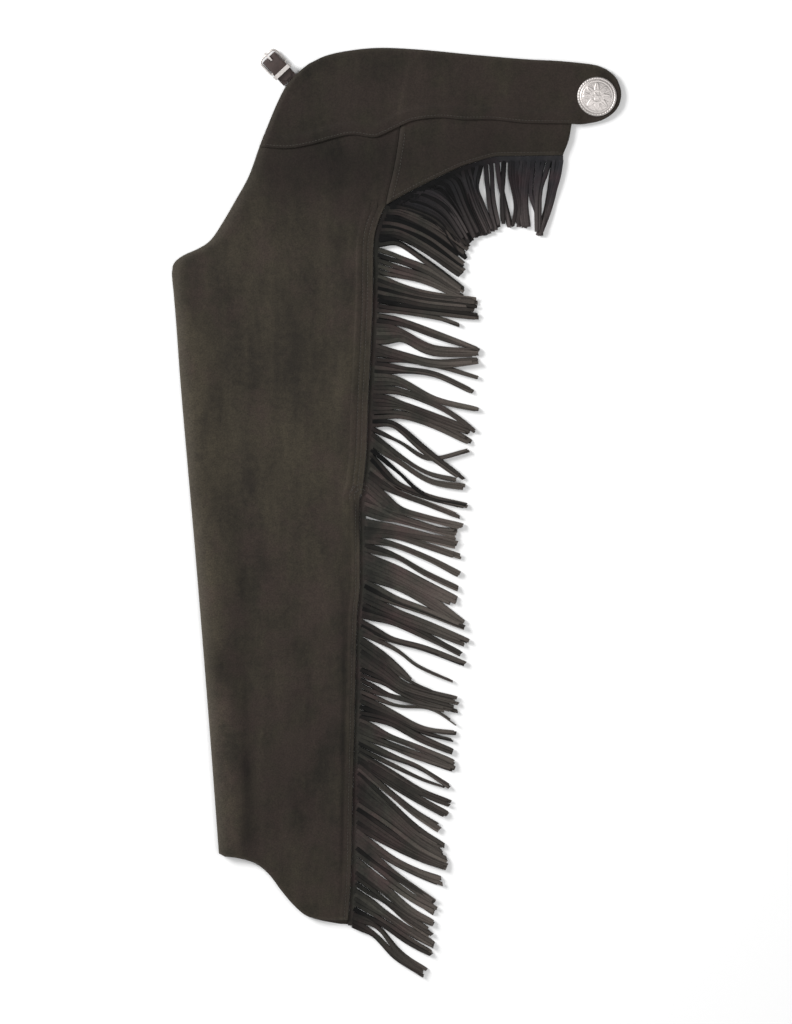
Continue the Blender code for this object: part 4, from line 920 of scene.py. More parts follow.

# %% [markdown]
# ## Fringe
# The fringe is a strip of thin suede slashed into strands. They are never evenly spread: handling
# gathers them into locks that cross, bend and part, so each lock is charted one by one. Its row
# says where its roots begin and end on the seam, two marks that it bends through, its tip, how
# wide it is at those three places, how many strands it gathers, and whether it lies on top of the
# rest.
# The chart has squares of 1.2 mm, counted to the right and down from its upper left corner.

# %% Chart of the fringe's locks
CHART_MIDDLE, CHART_SQUARE = (396.5, 512.0), 1.2
LOCK_COLUMNS = ("root_from", "root_to", "x1", "y1", "x2", "y2", "tip_x", "tip_y",
                "width_1", "width_2", "width_tip", "strands", "level")
LEG_LOCKS = [
    (205, 214, 405, 212, 438, 228, 467, 251, 11, 13, 12, 4, 0),
    (214, 225, 402, 222, 432, 235, 466, 261, 11, 11, 11, 3, 0),
    (225, 238, 400, 233, 428, 248, 465, 274, 13, 12, 13, 4, 0),
    (238, 247, 398, 243, 428, 263, 464, 290, 5, 5, 5, 2, 1),
    (247, 258, 400, 260, 430, 272, 463, 293, 7, 7, 6, 2, 0),
    (258, 274, 395, 271, 428, 280, 464, 297, 12, 9, 7, 3, 0),
    (274, 286, 400, 288, 432, 297, 478, 301, 9, 9, 7, 3, 0),
    (286, 298, 398, 297, 432, 304, 477, 309, 9, 9, 7, 3, 0),
    (298, 308, 400, 307, 438, 312, 479, 317, 7, 7, 6, 2, 0),
    (308, 313, 395, 312, 430, 316, 460, 326, 4, 4, 3, 1, 0),
    (313, 323, 403, 323, 440, 336, 480, 350, 7, 7, 4, 2, 0),
    (323, 344, 402, 336, 432, 350, 479, 353, 11, 9, 6, 5, 0),
    (344, 352, 400, 355, 436, 365, 480, 362, 7, 7, 5, 2, 1),
    (352, 362, 402, 360, 440, 367, 478, 378, 5, 5, 4, 2, 0),
    (362, 373, 402, 370, 435, 375, 474, 393, 7, 6, 5, 3, 0),
    (373, 386, 400, 382, 436, 400, 479, 410, 8, 6, 5, 3, 0),
    (386, 394, 402, 392, 440, 407, 476, 433, 6, 5, 4, 2, 1),
    (394, 410, 400, 405, 435, 418, 470, 432, 8, 8, 7, 4, 0),
    (410, 420, 402, 415, 438, 426, 472, 443, 7, 7, 5, 2, 0),
    (420, 427, 395, 425, 425, 450, 464, 479, 6, 6, 5, 2, 1),
    (427, 431, 400, 442, 430, 459, 471, 449, 2.5, 4, 3, 1, 0),
    (431, 437, 400, 456, 428, 473, 459, 480, 4, 4, 4, 1, 0),
    (437, 446, 398, 461, 430, 481, 466, 487, 4, 4, 4, 2, 0),
    (446, 453, 398, 472, 425, 494, 466, 505, 3, 3, 3, 1, 0),
    (453, 466, 394, 482, 425, 496, 468, 507, 7, 6, 5, 3, 0),
    (466, 478, 395, 491, 428, 504, 461, 517, 6, 5, 4, 3, 0),
    (478, 497, 395, 508, 428, 518, 463, 526, 9, 6, 5, 4, 0),
    (497, 515, 395, 517, 428, 527, 457, 534, 9, 6, 4, 4, 0),
    (519, 530, 395, 530, 428, 537, 458, 544, 10, 7, 6, 3, 0),
    (530, 537, 393, 536, 425, 546, 461, 559, 5, 5, 5, 2, 0),
    (537, 543, 392, 544, 428, 558, 461, 575, 5, 5, 5, 2, 0),
    (543, 552, 395, 556, 425, 573, 459, 589, 5, 5, 5, 2, 0),
    (552, 564, 395, 571, 428, 588, 457, 602, 12, 12, 11, 3, 0),
    (564, 579, 395, 583, 428, 600, 464, 624, 12, 11, 8, 4, 0),
    (579, 593, 392, 599, 425, 611, 465, 627, 9, 7, 5, 3, 1),
    (593, 607, 395, 614, 428, 627, 469, 644, 11, 10, 8, 3, 0),
    (607, 618, 392, 620, 425, 635, 462, 654, 8, 7, 4, 3, 0),
    (620, 630, 390, 639, 425, 649, 466, 665, 6, 6, 5, 3, 0),
    (630, 636, 395, 649, 418, 666, 454, 682, 3, 2, 2, 1, 0),
    (637, 643, 381, 654, 396, 668, 411, 680, 7, 7, 4, 2, 0),
    (643, 649, 385, 663, 408, 680, 434, 692, 4, 3, 2, 1, 0),
    (649, 662, 384, 671, 408, 688, 459, 703, 9, 7, 6, 3, 0),
    (662, 677, 384, 680, 410, 696, 458, 712, 9, 6, 5, 3, 0),
    (677, 688, 388, 695, 415, 702, 446, 709, 4, 4, 6, 2, 1),
    (688, 694, 395, 705, 430, 709, 458, 727, 3, 2.5, 2, 1, 0),
    (694, 703, 390, 712, 422, 728, 460, 733, 6, 5, 3, 2, 0),
    (703, 710, 392, 718, 425, 733, 455, 742, 5, 4, 2, 1, 0),
    (710, 719, 390, 722, 420, 738, 454, 752, 7, 7, 5, 2, 0),
    (718, 729, 388, 736, 420, 748, 455, 763, 6, 6, 7, 3, 0),
    (729, 737, 390, 745, 420, 756, 456, 769, 6, 7, 6, 2, 0),
    (737, 745, 388, 755, 420, 768, 451, 788, 6, 3, 3, 2, 0),
    (745, 751, 388, 763, 418, 777, 445, 788, 5, 3, 2, 1, 0),
    (751, 757, 388, 772, 420, 791, 450, 804, 8, 7, 7, 3, 0),
    (757, 763, 388, 780, 420, 800, 448, 815, 8, 7, 7, 3, 0),
    (763, 770, 388, 791, 415, 813, 442, 831, 5, 5, 6, 2, 0),
    (771, 782, 388, 804, 415, 829, 444, 848, 9, 8, 6, 3, 0),
    (782, 796, 388, 812, 418, 838, 443, 854, 12, 11, 7, 3, 0),
    (796, 811, 388, 824, 420, 848, 448, 862, 13, 11, 8, 3, 0),
    (811, 828, 388, 839, 420, 856, 447, 867, 12, 8, 6, 4, 0),
    (828, 837, 388, 857, 415, 871, 444, 882, 7, 6, 7, 2, 0),
    (837, 850, 386, 868, 410, 885, 435, 902, 8, 6, 6, 3, 0),
    (850, 862, 384, 877, 411, 897, 438, 912, 9, 7, 6, 2, 0),
    (862, 874, 384, 889, 410, 911, 434, 924, 9, 8, 6, 3, 0),
    (874, 886, 384, 900, 407, 917, 433, 934, 4, 6, 5, 2, 0),
    (888, 900, 384, 913, 410, 931, 434, 946, 7, 8, 6, 3, 0),
    (900, 911, 382, 922, 408, 940, 433, 954, 7, 7, 5, 2, 0),
    (912, 919, 378, 927, 400, 953, 426, 971, 4, 5, 3, 2, 0),
    (919, 927, 374, 934, 397, 957, 425, 974, 4, 5, 3, 2, 0),
]
HIP_LOCKS = [
    (386, 397, 408, 209, 438, 222, 462, 252, 10, 9, 8, 4, 0),
    (397, 407, 418, 203, 443, 216, 466, 247, 12, 10, 8, 4, 0),
    (407, 418, 428, 196, 448, 210, 469, 244, 12, 10, 8, 4, 1),
    (418, 429, 438, 190, 454, 206, 472, 242, 12, 10, 8, 4, 0),
    (429, 441, 446, 184, 460, 205, 476, 240, 12, 10, 8, 4, 0),
    (441, 451, 455, 183, 465, 206, 480, 238, 11, 9, 7, 3, 1),
    (451, 461, 463, 182, 471, 207, 484, 236, 11, 9, 7, 3, 0),
    (461, 471, 469, 184, 477, 208, 488, 235, 10, 9, 6, 3, 0),
    (471, 483, 474, 186, 481, 206, 492, 233, 8, 8, 7, 3, 0),
    (483, 494, 490, 186, 492, 206, 498, 231, 8, 8, 7, 2, 0),
    (494, 500, 499, 180, 504, 202, 509, 228, 5, 5, 4, 1, 0),
    (500, 508, 503, 179, 502, 200, 503, 227, 5, 4, 4, 1, 1),
    (508, 519, 514, 180, 519, 206, 517, 228, 9, 8, 7, 3, 0),
    (519, 531, 524, 180, 523, 206, 526, 229, 9, 9, 8, 3, 0),
    (531, 541, 533, 193, 538, 213, 541, 236, 8, 6, 5, 2, 0),
    (541, 552, 542, 178, 538, 198, 538, 233, 7, 6, 5, 2, 1),
    (552, 563, 554, 182, 548, 208, 539, 237, 9, 7, 5, 3, 0),
]
print("locks", len(LEG_LOCKS) + len(HIP_LOCKS), "strands on top",
      sum(row[-2] for row in LEG_LOCKS + HIP_LOCKS))

# %% [markdown]
# ## Strands from locks
# Every strand follows its lock's line, a smooth curve through root, marks and tip. At the root it
# sits where it was cut from the strip; a third of the way on it has closed up to its neighbours.
# Where a lock is narrow its strands lean on each other like cards, and a single strand in a narrow
# place turns on edge. A strand is a flat ribbon of six sides, and all are worked out at once.

# %% Lines of the strands
STRIP_CLEARANCE, STRIP_WIDTH, STRIP_OVERLAP = 0.3, 5.4, 2.0
STATION_STEPS = 6
STATIONS = 3 * STATION_STEPS + 1
STRAND_WIDTH, STRAND_THICKNESS = 5.5, 1.2
SHOWN_WIDTH, SMALLEST_PITCH = 4.1, 1.0
LOCK_LIFT = 1.3


def from_chart(squares):
    """Chart squares to millimetres: ((column - 396.5) * 1.2, (512 - row) * 1.2)."""
    return (np.asarray(squares, float) - CHART_MIDDLE) * (CHART_SQUARE, -CHART_SQUARE)


def at_value(line, value, axis):
    """Points of a line where one coordinate, which rises or falls all along it, has the values."""
    order = np.argsort(line[:, axis])
    return np.stack([np.interp(value, line[order, axis], line[order, k]) for k in (0, 1)], axis=-1)


def at_share(values, share):
    """Rows of an array at shares 0 to 1 of its height, one share for every row and column."""
    at = share * (len(values) - 1)
    low = np.minimum(at.astype(int), len(values) - 2)
    part = at - low
    column = np.arange(values.shape[1])
    if values.ndim == 3:
        part = part[..., None]
    return (1 - part) * values[low, column] + part * values[low + 1, column]


def follow_locks(locks, strip_edge, axis, closing):
    """Middle lines, sideways directions, widths and gathered pitch of all strands.
    Strand = lock's line + (1 - b) * (own root - lock's root) + b * side * fan * spread, where b
    goes from 0 at the root to 1, and fan from -0.5 to 0.5 across the lock."""
    columns = dict(zip(LOCK_COLUMNS, np.array(locks, float).T))
    marks = from_chart(np.array(locks, float)[:, 2:8].reshape(-1, 3, 2))
    strands = columns["strands"].astype(int)
    lock = np.repeat(np.arange(len(locks)), strands)
    number = np.arange(len(lock)) - np.repeat(np.cumsum(strands) - strands, strands)
    many = strands[lock]
    fan = (number - (many - 1) / 2) / np.maximum(many - 1, 1)
    span = columns["root_to"] - columns["root_from"]
    cut_at = columns["root_from"][lock] + span[lock] * (number + 0.5) / many
    as_value = lambda square: from_chart(np.stack([square, square], axis=-1))[..., axis]
    middle_root = at_value(strip_edge, as_value(columns["root_from"] + span / 2), axis)
    own_root = at_value(strip_edge, as_value(cut_at), axis)
    bends = np.concatenate([middle_root[None], marks.transpose(1, 0, 2)])
    lines = smooth_line(bends.reshape(4, -1), STATION_STEPS).reshape(STATIONS, -1, 2)
    run = np.gradient(lines, axis=0)
    run /= np.linalg.norm(run, axis=2)[..., None]
    side = np.dstack([-run[..., 1], run[..., 0]])
    onward = np.zeros(2)
    onward[axis] = 1 if axis == 0 else -1
    side *= np.sign(side @ onward)[..., None]
    widths = np.stack([span, columns["width_1"], columns["width_2"], columns["width_tip"]])
    widths = CHART_SQUARE * smooth_line(widths, STATION_STEPS)[:, lock]
    spread = np.maximum(widths - SHOWN_WIDTH, SMALLEST_PITCH * (many - 1))
    t = np.linspace(0, 1, STATIONS)[:, None]
    gathered = smoothstep(t, *closing)[..., None]
    middles = (lines[:, lock] + (1 - gathered) * (own_root - middle_root[lock])
               + gathered * side[:, lock] * (fan * spread)[..., None])
    pitch = np.where(many > 1, spread / np.maximum(many - 1, 1), 0)
    return middles, side[:, lock], widths, pitch, columns["level"][lock], lock


print("chart corner", from_chart((0, 0)))

# %% Build a fringe


def lean_of(widths, pitch, way):
    """Turn about the strand: asin(thickness / pitch) in a lock, acos(shown / width) alone."""
    t = np.linspace(0, 1, STATIONS)[:, None]
    leaning = np.arcsin(np.clip(0.9 * STRAND_THICKNESS / np.maximum(pitch, 0.1), 0, 0.6))
    alone = np.arccos(np.clip(widths / STRAND_WIDTH, 0.35, 1))
    return np.where(pitch > 0, leaning, alone) * way * smoothstep(t, 0.04, 0.3)


def strip_mesh(inner, outer, top, low):
    """Closed bar between two lines, four corners at every point."""
    level = [np.column_stack([line, np.full(len(line), z)])
             for line, z in ((inner, top), (outer, top), (outer, low), (inner, low))]
    count = len(inner)
    faces = [*grid_quads(count, 4, around=True), np.arange(4), np.arange(4)[::-1] + 4 * count - 4]
    return np.stack(level, axis=1).reshape(-1, 3), faces


def build_fringe(name, edge, locks, axis, closing, heights, broad, seed, shade, material):
    """Ribbons: middle line + side * w + up * h for the six corners of a flat section, where
    side and up are turned about the strand by its lean. The strip joins their roots."""
    pick = np.random.default_rng(seed)
    turned = 1 if axis == 0 else -1
    onward = edge[-1] + (edge[-1] - edge[-2])
    fine = smooth_line(np.vstack([edge, onward]), 4)
    inner = offset_line(fine, turned * STRIP_CLEARANCE)
    outer = offset_line(fine, turned * (STRIP_CLEARANCE + STRIP_WIDTH))
    middles, side, widths, pitch, level, lock = follow_locks(locks, outer, axis, closing)
    count = len(lock)
    t = np.linspace(0, 1, STATIONS)[:, None]
    wave = pick.normal(0, 0.55, count) * np.sin(2 * math.pi * (pick.uniform(0.7, 1.6, count) * t
                                                               + pick.random(count)))
    stray = pick.normal(0, 1, count) * np.where(pick.random(count) < 0.2, 2.2, 0.7)
    middles = middles + side * (stray * t ** 1.8 + wave * t)[..., None]
    way = np.where(pick.random(lock.max() + 1) < 0.7, 1, -1)[lock]
    roll = lean_of(widths, pitch, way)
    roll = roll + pick.normal(0, 0.14, count) * np.sin(math.pi * (1.7 * t + pick.random(count)))
    height = np.interp(t[:, 0], np.linspace(0, 1, len(heights)), heights)[:, None]
    height = height + LOCK_LIFT * level * smoothstep(t, 0.05, 0.3) + pick.normal(0, 0.12, count)
    height = height + 0.3 * np.sin(2 * math.pi * (1.1 * t + pick.random(count))) * t
    reach = t * (1 - np.abs(pick.normal(0, 0.035, count)))
    middles, side, roll, height = (at_share(v, reach) for v in (middles, side, roll, height))
    lowest = STRAND_WIDTH / 2 * np.abs(np.sin(roll)) + STRAND_THICKNESS / 2 + 0.15
    height = np.maximum(height, lowest)

    run = np.gradient(middles, axis=0)
    run /= np.linalg.norm(run, axis=2)[..., None]
    across = np.dstack([-run[..., 1], run[..., 0]])
    across *= np.sign((across * side).sum(axis=2))[..., None]
    width = broad * pick.uniform(0.88, 1.06, count) * np.where(t > 0.99, 0.88, 1.0)
    middle, flat = np.dstack([middles, height]), np.zeros((STATIONS, count, 1))
    out = np.dstack([across, flat]) * np.cos(roll)[..., None]
    out[..., 2] = np.sin(roll)
    up = -np.dstack([across, flat]) * np.sin(roll)[..., None]
    up[..., 2] = np.cos(roll)
    shape = np.array([(-0.5, 0), (-0.34, 0.5), (0.34, 0.5), (0.5, 0), (0.34, -0.5), (-0.34, -0.5)])
    corners = (middle[..., None, :]
               + out[..., None, :] * (width[..., None] * shape[:, 0])[..., None]
               + up[..., None, :] * (STRAND_THICKNESS * shape[:, 1])[:, None])
    slant = pick.normal(0, 1.2, count)[:, None] * shape[:, 0]
    corners[-1, ..., :2] += run[-1][:, None] * slant[..., None]
    points = corners.transpose(1, 0, 2, 3).reshape(-1, 3)
    ribbon = grid_quads(STATIONS, 6, around=True)
    bases = np.arange(count)[:, None, None] * STATIONS * 6
    caps = np.array([np.arange(6), np.arange(6)[::-1] + (STATIONS - 1) * 6])
    faces = [*(ribbon + bases).reshape(-1, 4), *(caps + bases).reshape(-1, 6)]

    first, last = from_chart([(locks[0][0],) * 2, (locks[-1][1],) * 2])[:, axis]
    ends = np.linspace(first, last, 200)
    reached = offset_line(fine, turned * (STRIP_CLEARANCE + STRIP_WIDTH + STRIP_OVERLAP))
    bar, bar_faces = strip_mesh(at_value(inner, ends, axis), at_value(reached, ends, axis),
                                heights[0] + 0.25, heights[0] - 0.5)
    faces += [face + len(points) for face in bar_faces]
    tone_and_shade = (pick.normal(0, 0.27, count) + pick.normal(0, 0.14, lock.max() + 1)[lock])[:, None]
    # Painted shade at the roots, beside the panel's edge.
    tone_and_shade = tone_and_shade - 0.46 * (1 - smoothstep(t[:, 0], 0.0, 0.4))
    where = points[:, :2]
    # Painted shade on the strands' edges, where they lie against each other.
    sides = np.array([-0.55, 0, 0, -0.55, -0.3, -0.3])
    tone_and_shade = (tone_and_shade[..., None] + sides).ravel() + shade(where[:, 0], where[:, 1])
    # The root bar carries painted shade, 0.3 darker than the strands' shade there.
    tone_and_shade = np.concatenate([tone_and_shade, shade(bar[:, 0], bar[:, 1]) - 0.3])
    rim = np.tile(np.repeat(smoothstep(t[:, 0], 0.35, 1.0) * 1.2, 6), count)
    return place(name, np.vstack([points, bar]), faces, material,
                 {"tone_and_shade": tone_and_shade, "rim": np.concatenate([rim, np.zeros(len(bar))])}, smooth=False)


def leg_shade(x, y):
    """The upper locks lie in the shade of the hip; those beside the knee catch the light."""
    lit = 0.26 * np.exp(-((y + 60) / 110) ** 2)
    return lit - 0.12 * smoothstep(y, -450, 100) - 0.34 * smoothstep(y, 210, 330)


def hip_shade(x, y):
    """Deep shade where the fan is packed, lighter to the right, where the strands part."""
    return -0.64 + 1.25 * smoothstep(x, 60, 165)


leg_edge, hip_edge = leg_flat[HIP_ROWS::3, -1], hip_flat[-1, ::2]
TOP_HEIGHTS, HIP_HEIGHTS = (5.6, 4.9, 4.4, 4.1), (4.6, 4.5, 4.2, 4.0)
UNDER_HEIGHTS, UNDER_WIDTH = (2.0, 1.6, 1.4), 5.8
LEG_CLOSING, HIP_CLOSING = (0.07, 0.38), (0.16, 0.45)
fringe_pieces = [
    build_fringe("fringe_leg_top", leg_edge, LEG_LOCKS, 1, LEG_CLOSING, TOP_HEIGHTS,
                 STRAND_WIDTH, 7, leg_shade, fringe_suede),
    build_fringe("fringe_hip_top", hip_edge, HIP_LOCKS, 0, HIP_CLOSING, HIP_HEIGHTS,
                 STRAND_WIDTH, 11, hip_shade, shaded_hip_fringe_suede),
    build_fringe("fringe_leg_under", leg_edge, LEG_LOCKS, 1, LEG_CLOSING, UNDER_HEIGHTS,
                 UNDER_WIDTH, 23, leg_shade, fringe_suede),
    build_fringe("fringe_hip_under", hip_edge, HIP_LOCKS, 0, HIP_CLOSING, UNDER_HEIGHTS,
                 UNDER_WIDTH, 31, hip_shade, shaded_hip_fringe_suede),
]
print("fringe faces", [len(made.data.polygons) for made in fringe_pieces])

# %% [markdown]
# ## Concho
# A concho is a domed silver disc with a roped rim and a cut pattern. It is one surface in polar
# coordinates: a dome, a rope that is a wave round the rim, a ring of beads, and a flower of plain
# petals with leaves between, the kind of ornament that any saddler's supplier strikes.

# %% Build the concho
CONCHO_RADIUS, CONCHO_DOME = 23.6, 2.2
CONCHO_RINGS, CONCHO_STEPS = 74, 264


def concho_relief(radius, angle):
    """Height over the back: dome, rope at the rim, beads at 0.8 R, leaves and petals inside."""
    r = radius / CONCHO_RADIUS
    dome = CONCHO_DOME * (1 - r ** 2) + 1.5
    rope = 0.45 * np.exp(-((r - 0.945) / 0.04) ** 2) * (1 + 0.7 * np.cos(44 * angle + 30 * r))
    groove_in = -0.4 * np.exp(-((r - 0.87) / 0.016) ** 2)
    beads = 0.32 * np.exp(-((r - 0.81) / 0.028) ** 2) * np.cos(30 * angle) ** 2
    groove_out = -0.3 * np.exp(-((r - 0.745) / 0.012) ** 2)
    reach = np.cos(4 * angle) ** 2
    leaf_edge = 0.40 + 0.31 * reach
    leaves = 0.34 * smoothstep(leaf_edge - r, -0.012, 0.03) * smoothstep(r, 0.22, 0.3)
    vein = -0.22 * np.exp(-(np.sin(8 * angle) * r * 6) ** 2) * smoothstep(r, 0.3, 0.4)
    vein *= 1 - smoothstep(r, 0.62, 0.7)
    stipple = 0.07 * np.sin(r * 95) * np.sin(angle * 60) * smoothstep(r - leaf_edge, 0, 0.03)
    stipple *= 1 - smoothstep(r, 0.72, 0.74)
    petals = 0.3 * smoothstep(0.19 + 0.05 * np.cos(6 * angle) - r, -0.01, 0.02)
    eye = 0.3 * smoothstep(0.075 - r, -0.01, 0.015)
    return dome, rope + groove_in + beads + groove_out + leaves + vein + stipple + petals + eye


def build_concho():
    base = concho_low[2] / MM
    r = np.linspace(0, 1, CONCHO_RINGS) ** 0.8 * CONCHO_RADIUS
    angle = np.arange(CONCHO_STEPS) * 2 * math.pi / CONCHO_STEPS
    radius, turn = np.meshgrid(r[1:], angle, indexing="ij")
    dome, cut = concho_relief(radius, turn)
    height = dome + cut * smoothstep(CONCHO_RADIUS - radius, 0, 1.2)
    height *= smoothstep(CONCHO_RADIUS - radius, -1.4, 1.2) * 0.6 + 0.4
    ring = np.dstack([CONCHO_AT[0] + radius * np.cos(turn), CONCHO_AT[1] + radius * np.sin(turn),
                      base + height])
    back = np.column_stack([ring[-1, :, :2] * 0.985 + np.array(CONCHO_AT) * 0.015,
                            np.full(CONCHO_STEPS, base + 0.05)])
    points = np.vstack([[(*CONCHO_AT, base + CONCHO_DOME + 2.1)], ring.reshape(-1, 3), back])
    quads = grid_quads(CONCHO_RINGS, CONCHO_STEPS, around=True) + 1
    first = 1 + np.arange(CONCHO_STEPS)
    fan = np.column_stack([np.zeros(CONCHO_STEPS, int), first, np.roll(first, -1)])
    faces = [*fan, *quads, np.arange(CONCHO_STEPS)[::-1] + len(points) - CONCHO_STEPS]
    dark = np.clip(0.35 - cut * 1.4, 0, 1) * (1 - smoothstep(radius, 23.0, 23.5))
    hollow = np.concatenate([[0], dark.ravel() * 0.5, np.zeros(CONCHO_STEPS)])
    return place("silver_concho", points, faces, silver, {"hollow": hollow})


concho = build_concho()
print("concho", len(concho.data.polygons), "faces")

# %% [markdown]
# ## Strap, billet and buckle
# The strap at the front fold is narrow smooth leather. It turns round the buckle's heel bar, and
# the billet from the half below comes up through the buckle and back through the keeper. Both are
# thin strips bent along a path in the plane of the strap, with a rounded, burnished edge.

# %% Build the straps
STRAP_AT, STRAP_OUT = np.array([-127, 517.2]), np.array([-0.685, 0.728])
STRAP_BESIDE = np.array([STRAP_OUT[1], -STRAP_OUT[0]])
STRAP_WIDTH, STRAP_LEATHER, STRAP_SLOT = 20.0, 1.5, 3.6
HEEL_BAR, FAR_BAR, BAR_RADIUS = (20.6, 5.35), (42.4, 4.2), 1.3
LOOP_RADIUS = BAR_RADIUS + SEAM_GAP + STRAP_LEATHER / 2
BILLET_PATH = [(1.1, 1.15), (16, 1.15), (33, 1.15), (36.6, 2.0), (38.0, 4.4), (36.4, 6.8),
               (31, 8.0), (26, 9.0), (20.6, 9.6), (14.4, 9.0), (9, 7.6), (4, 6.8)]
BILLET_HOLE = (37.2, 5.9)


def on_strap(s, side, height):
    """Chart place of a point given along the strap, across it, and above the ground."""
    s, side, height = np.broadcast_arrays(s, side, height)
    spot = STRAP_AT + s[..., None] * STRAP_OUT + side[..., None] * STRAP_BESIDE
    return np.concatenate([spot, height[..., None]], axis=-1)


def build_strap(name, path, half_width, slot_rows):
    """Strip with ten columns across, slotted between the two middle ones on some rows."""
    run = np.gradient(path, axis=0)
    run /= np.linalg.norm(run, axis=1)[:, None]
    normal = np.column_stack([-run[:, 1], run[:, 0]])
    across = np.array([-1, -0.94, -0.7, -0.4, -1e-6, 1e-6, 0.4, 0.7, 0.94, 1])
    slot = STRAP_SLOT / 2 * np.sign(across) * (np.abs(across) < 0.1)
    side = across * half_width[:, None] + slot
    thin = STRAP_LEATHER / 2 * (1 - 0.55 * (np.abs(across) > 0.99))
    faces, rows, columns = [], len(path), len(across)
    grids = [on_strap(path[:, :1] + sign * normal[:, :1] * thin, side,
                      path[:, 1:] + sign * normal[:, 1:] * thin) for sign in (1, -1)]
    upper = grid_quads(rows, columns)
    cell_row, cell_column = upper[:, 0] // columns, upper[:, 0] % columns
    cut = np.isin(cell_row, slot_rows) & (cell_column == 4)
    count = rows * columns
    kept = upper[~cut]
    rim = border(rows, columns)
    after = np.roll(rim, -1)
    walls = np.stack([rim, rim + count, after + count, after], axis=1)
    first, last = min(slot_rows), max(slot_rows) + 1
    inner = np.concatenate([np.arange(first, last + 1) * columns + 4,
                            np.arange(last, first - 1, -1) * columns + 5])
    inner_after = np.roll(inner, -1)
    hole = np.stack([inner, inner + count, inner_after + count, inner_after], axis=1)
    faces = np.concatenate([kept, kept[:, ::-1] + count, walls, hole])
    return place(name, np.vstack([grid.reshape(-1, 3) for grid in grids]), faces, leather)


def build_straps():
    angles = np.radians(np.linspace(100, -100, 17))
    loop = np.column_stack([HEEL_BAR[0] + LOOP_RADIUS * np.cos(angles),
                            HEEL_BAR[1] + LOOP_RADIUS * np.sin(angles)])
    over = smooth_line([(1.2, 4.5), (5, 4.9), (10, 5.9), (14.5, 7.1), (17.3, 7.5)], 3)
    under = np.array([(17.3, 3.0), (12, 3.0), (6.5, 3.0)])
    path = np.vstack([over, loop, under])
    slots = np.arange(len(over) - 1, len(over) + len(loop))
    strap = build_strap("buckle_strap", path, np.full(len(path), STRAP_WIDTH / 2), slots)
    path = along(smooth_line(BILLET_PATH), np.linspace(0, 1, 60))
    tip = np.linspace(1, 0, 60) * length(smooth_line(BILLET_PATH))
    half = STRAP_WIDTH / 2 - 6 * (1 - np.clip(tip / 8, 0, 1)) ** 2
    hole = int(np.argmin(np.linalg.norm(path - BILLET_HOLE, axis=1)))
    billet = build_strap("buckle_billet", path, half, np.arange(hole - 4, hole + 4))
    return strap, billet


buckle_strap, buckle_billet = build_straps()
print("strap", len(buckle_strap.data.polygons), "billet", len(buckle_billet.data.polygons))

# %% [markdown]
# ## Stitching
# Every seam is topstitched in thread of the suede's own colour. A stitch is a short lens of
# thread that dips at both ends, so it is drawn as a closed bead with pointed ends, laid along
# its line at the height of the suede below it.

# %% Thread and stitches
STITCH_PITCH, STITCH_LENGTH, THREAD = 3.9, 3.1, 0.55


def make_thread():
    made, tree, shader = make_material("thread")
    where = node(tree, "ShaderNodeTexCoord").outputs["Object"]
    ply = noise(tree, where, 1400.0, 2.0)
    colour = blend_colours(tree, ply, (0.024, 0.021, 0.017), (0.058, 0.052, 0.042))
    link(tree, colour, shader.inputs["Base Color"])
    shader.inputs["Roughness"].default_value = 0.6
    return made


thread = make_thread()


def stitch_row(line, top):
    """Beads along a line: 5 sections of 4 corners, radius sin(pi t), from end to end."""
    line = np.asarray(line, float)
    count = max(int(length(line) / STITCH_PITCH), 1)
    middle = along(line, (np.arange(count) + 0.5) / count)
    ahead = along(line, np.minimum((np.arange(count) + 0.6) / count, 1))
    run = ahead - middle
    run /= np.linalg.norm(run, axis=1)[:, None]
    t = np.linspace(0, 1, 5)
    radius = THREAD / 2 * (0.25 + 0.75 * np.sin(math.pi * t))
    angle = np.radians([45, 135, 225, 315])
    side = np.column_stack([-run[:, 1], run[:, 0]])
    ground = top(middle[:, 0], middle[:, 1]) + SUEDE / 2
    spots = middle[:, None] + run[:, None] * ((t - 0.5) * STITCH_LENGTH)[:, None]
    flat = (spots[:, :, None] + side[:, None, None]
            * (radius[:, None] * np.cos(angle))[None, ..., None] * 1.3)
    z = (ground[:, None, None] + 0.12 + 0.1 * np.sin(math.pi * t)[None, :, None]
         + (radius[:, None] * np.sin(angle))[None])
    points = np.concatenate([flat, z[..., None]], axis=-1).reshape(-1, 3)
    bead = grid_quads(5, 4, around=True)
    bases = np.arange(count)[:, None, None] * 20
    caps = np.array([np.arange(4), np.arange(4)[::-1] + 16])
    return points, np.vstack([(bead + bases).reshape(-1, 4), (caps + bases).reshape(-1, 4)])


def part_of(line, start, end):
    """Stretch of a line between two shares of its length."""
    return along(line, np.linspace(start, end, 200))


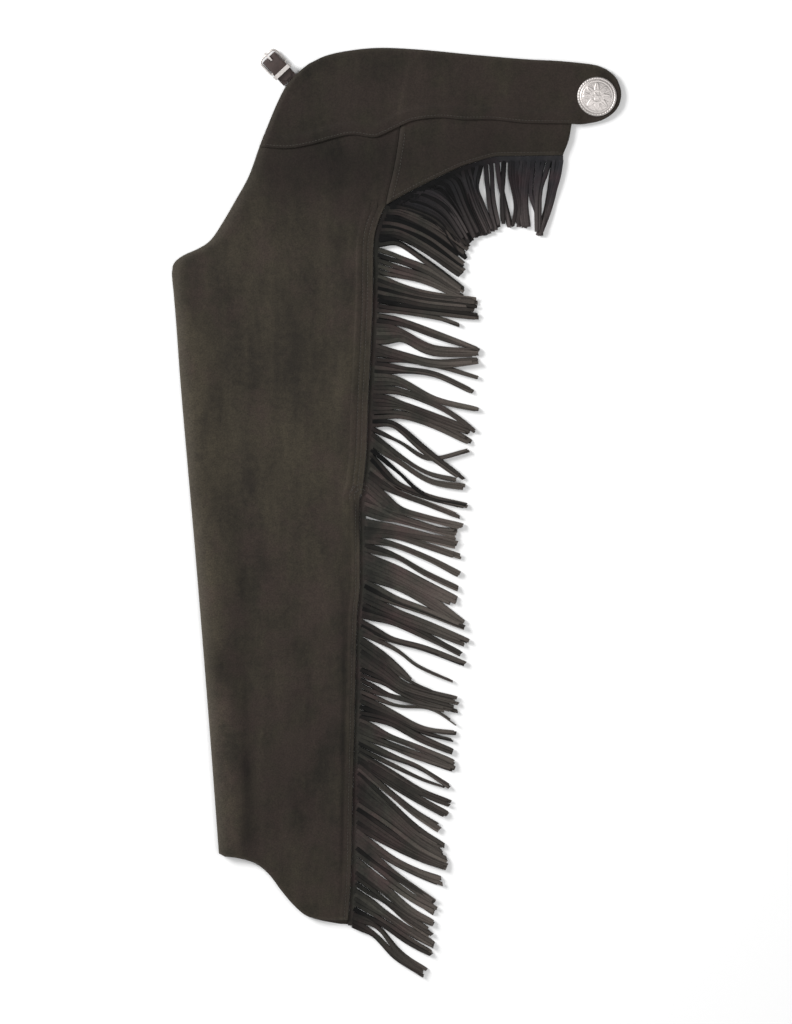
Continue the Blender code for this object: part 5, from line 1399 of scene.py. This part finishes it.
def build_stitching(name, rows):
    points, faces, done = [], [], 0
    for line, top in rows:
        spots, quads = stitch_row(line, top)
        points.append(spots)
        faces.append(quads + done)
        done += len(spots)
    return place(name, np.vstack(points), np.vstack(faces), thread)


below_step = OUTER_LINE[OUTER_LINE[:, 1] < BAND_STEP - 2]
above_step = OUTER_LINE[(OUTER_LINE[:, 1] > BAND_STEP + 2) & (OUTER_LINE[:, 1] < 352)]
leg_stitching = build_stitching("leg_stitching", [
    (offset_line(above_step, 12.4), leg_top), (offset_line(above_step, 6.6), leg_top),
    (offset_line(below_step, 4.8), leg_top)])
hip_stitching = build_stitching("hip_stitching", [
    (part_of(offset_line(HIP_SEAM_LINE, -7.0), 0.08, 0.9), hip_top),
    (part_of(offset_line(HIP_ARC_LINE, -4.0), 0.03, 0.98), hip_top)])
yoke_stitching = build_stitching("yoke_stitching", [
    (part_of(offset_line(YOKE_SEAM_LINE, -3.2), 0.01, 0.93), yoke_top)])
stitching = [leg_stitching, hip_stitching, yoke_stitching]
print("stitches", [len(made.data.vertices) // 20 for made in stitching])

# %% [markdown]
# ## Places and the end
# Each piece rides on the one body and stands for its solid.

STANDS_FOR = [
    (leg_suede, "leg_panel", "suede"), (hip_suede, "hip_panel", "suede"),
    (yoke_suede, "yoke", "suede"), (folded_under, "hidden_layers", "suede"),
    (fringe_pieces[0], "fringe_leg_upper", "fringe_suede"),
    (fringe_pieces[1], "fringe_hip_upper", "fringe_suede"),
    (fringe_pieces[2], "fringe_leg_lower", "fringe_suede"),
    (fringe_pieces[3], "fringe_hip_lower", "fringe_suede"),
    (concho, "concho", "silver"), (buckle_strap, "front_strap", "strap_leather"),
    (buckle_billet, "billet", "strap_leather"),
]
for piece, solid, finish in STANDS_FOR:
    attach(piece, "root")
    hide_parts(solid)
for piece in stitching:
    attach(piece, "root")
for name in ("buckle_frame", "buckle_prong", "buckle_keeper"):
    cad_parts[name].data.materials.clear()
    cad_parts[name].data.materials.append(silver)
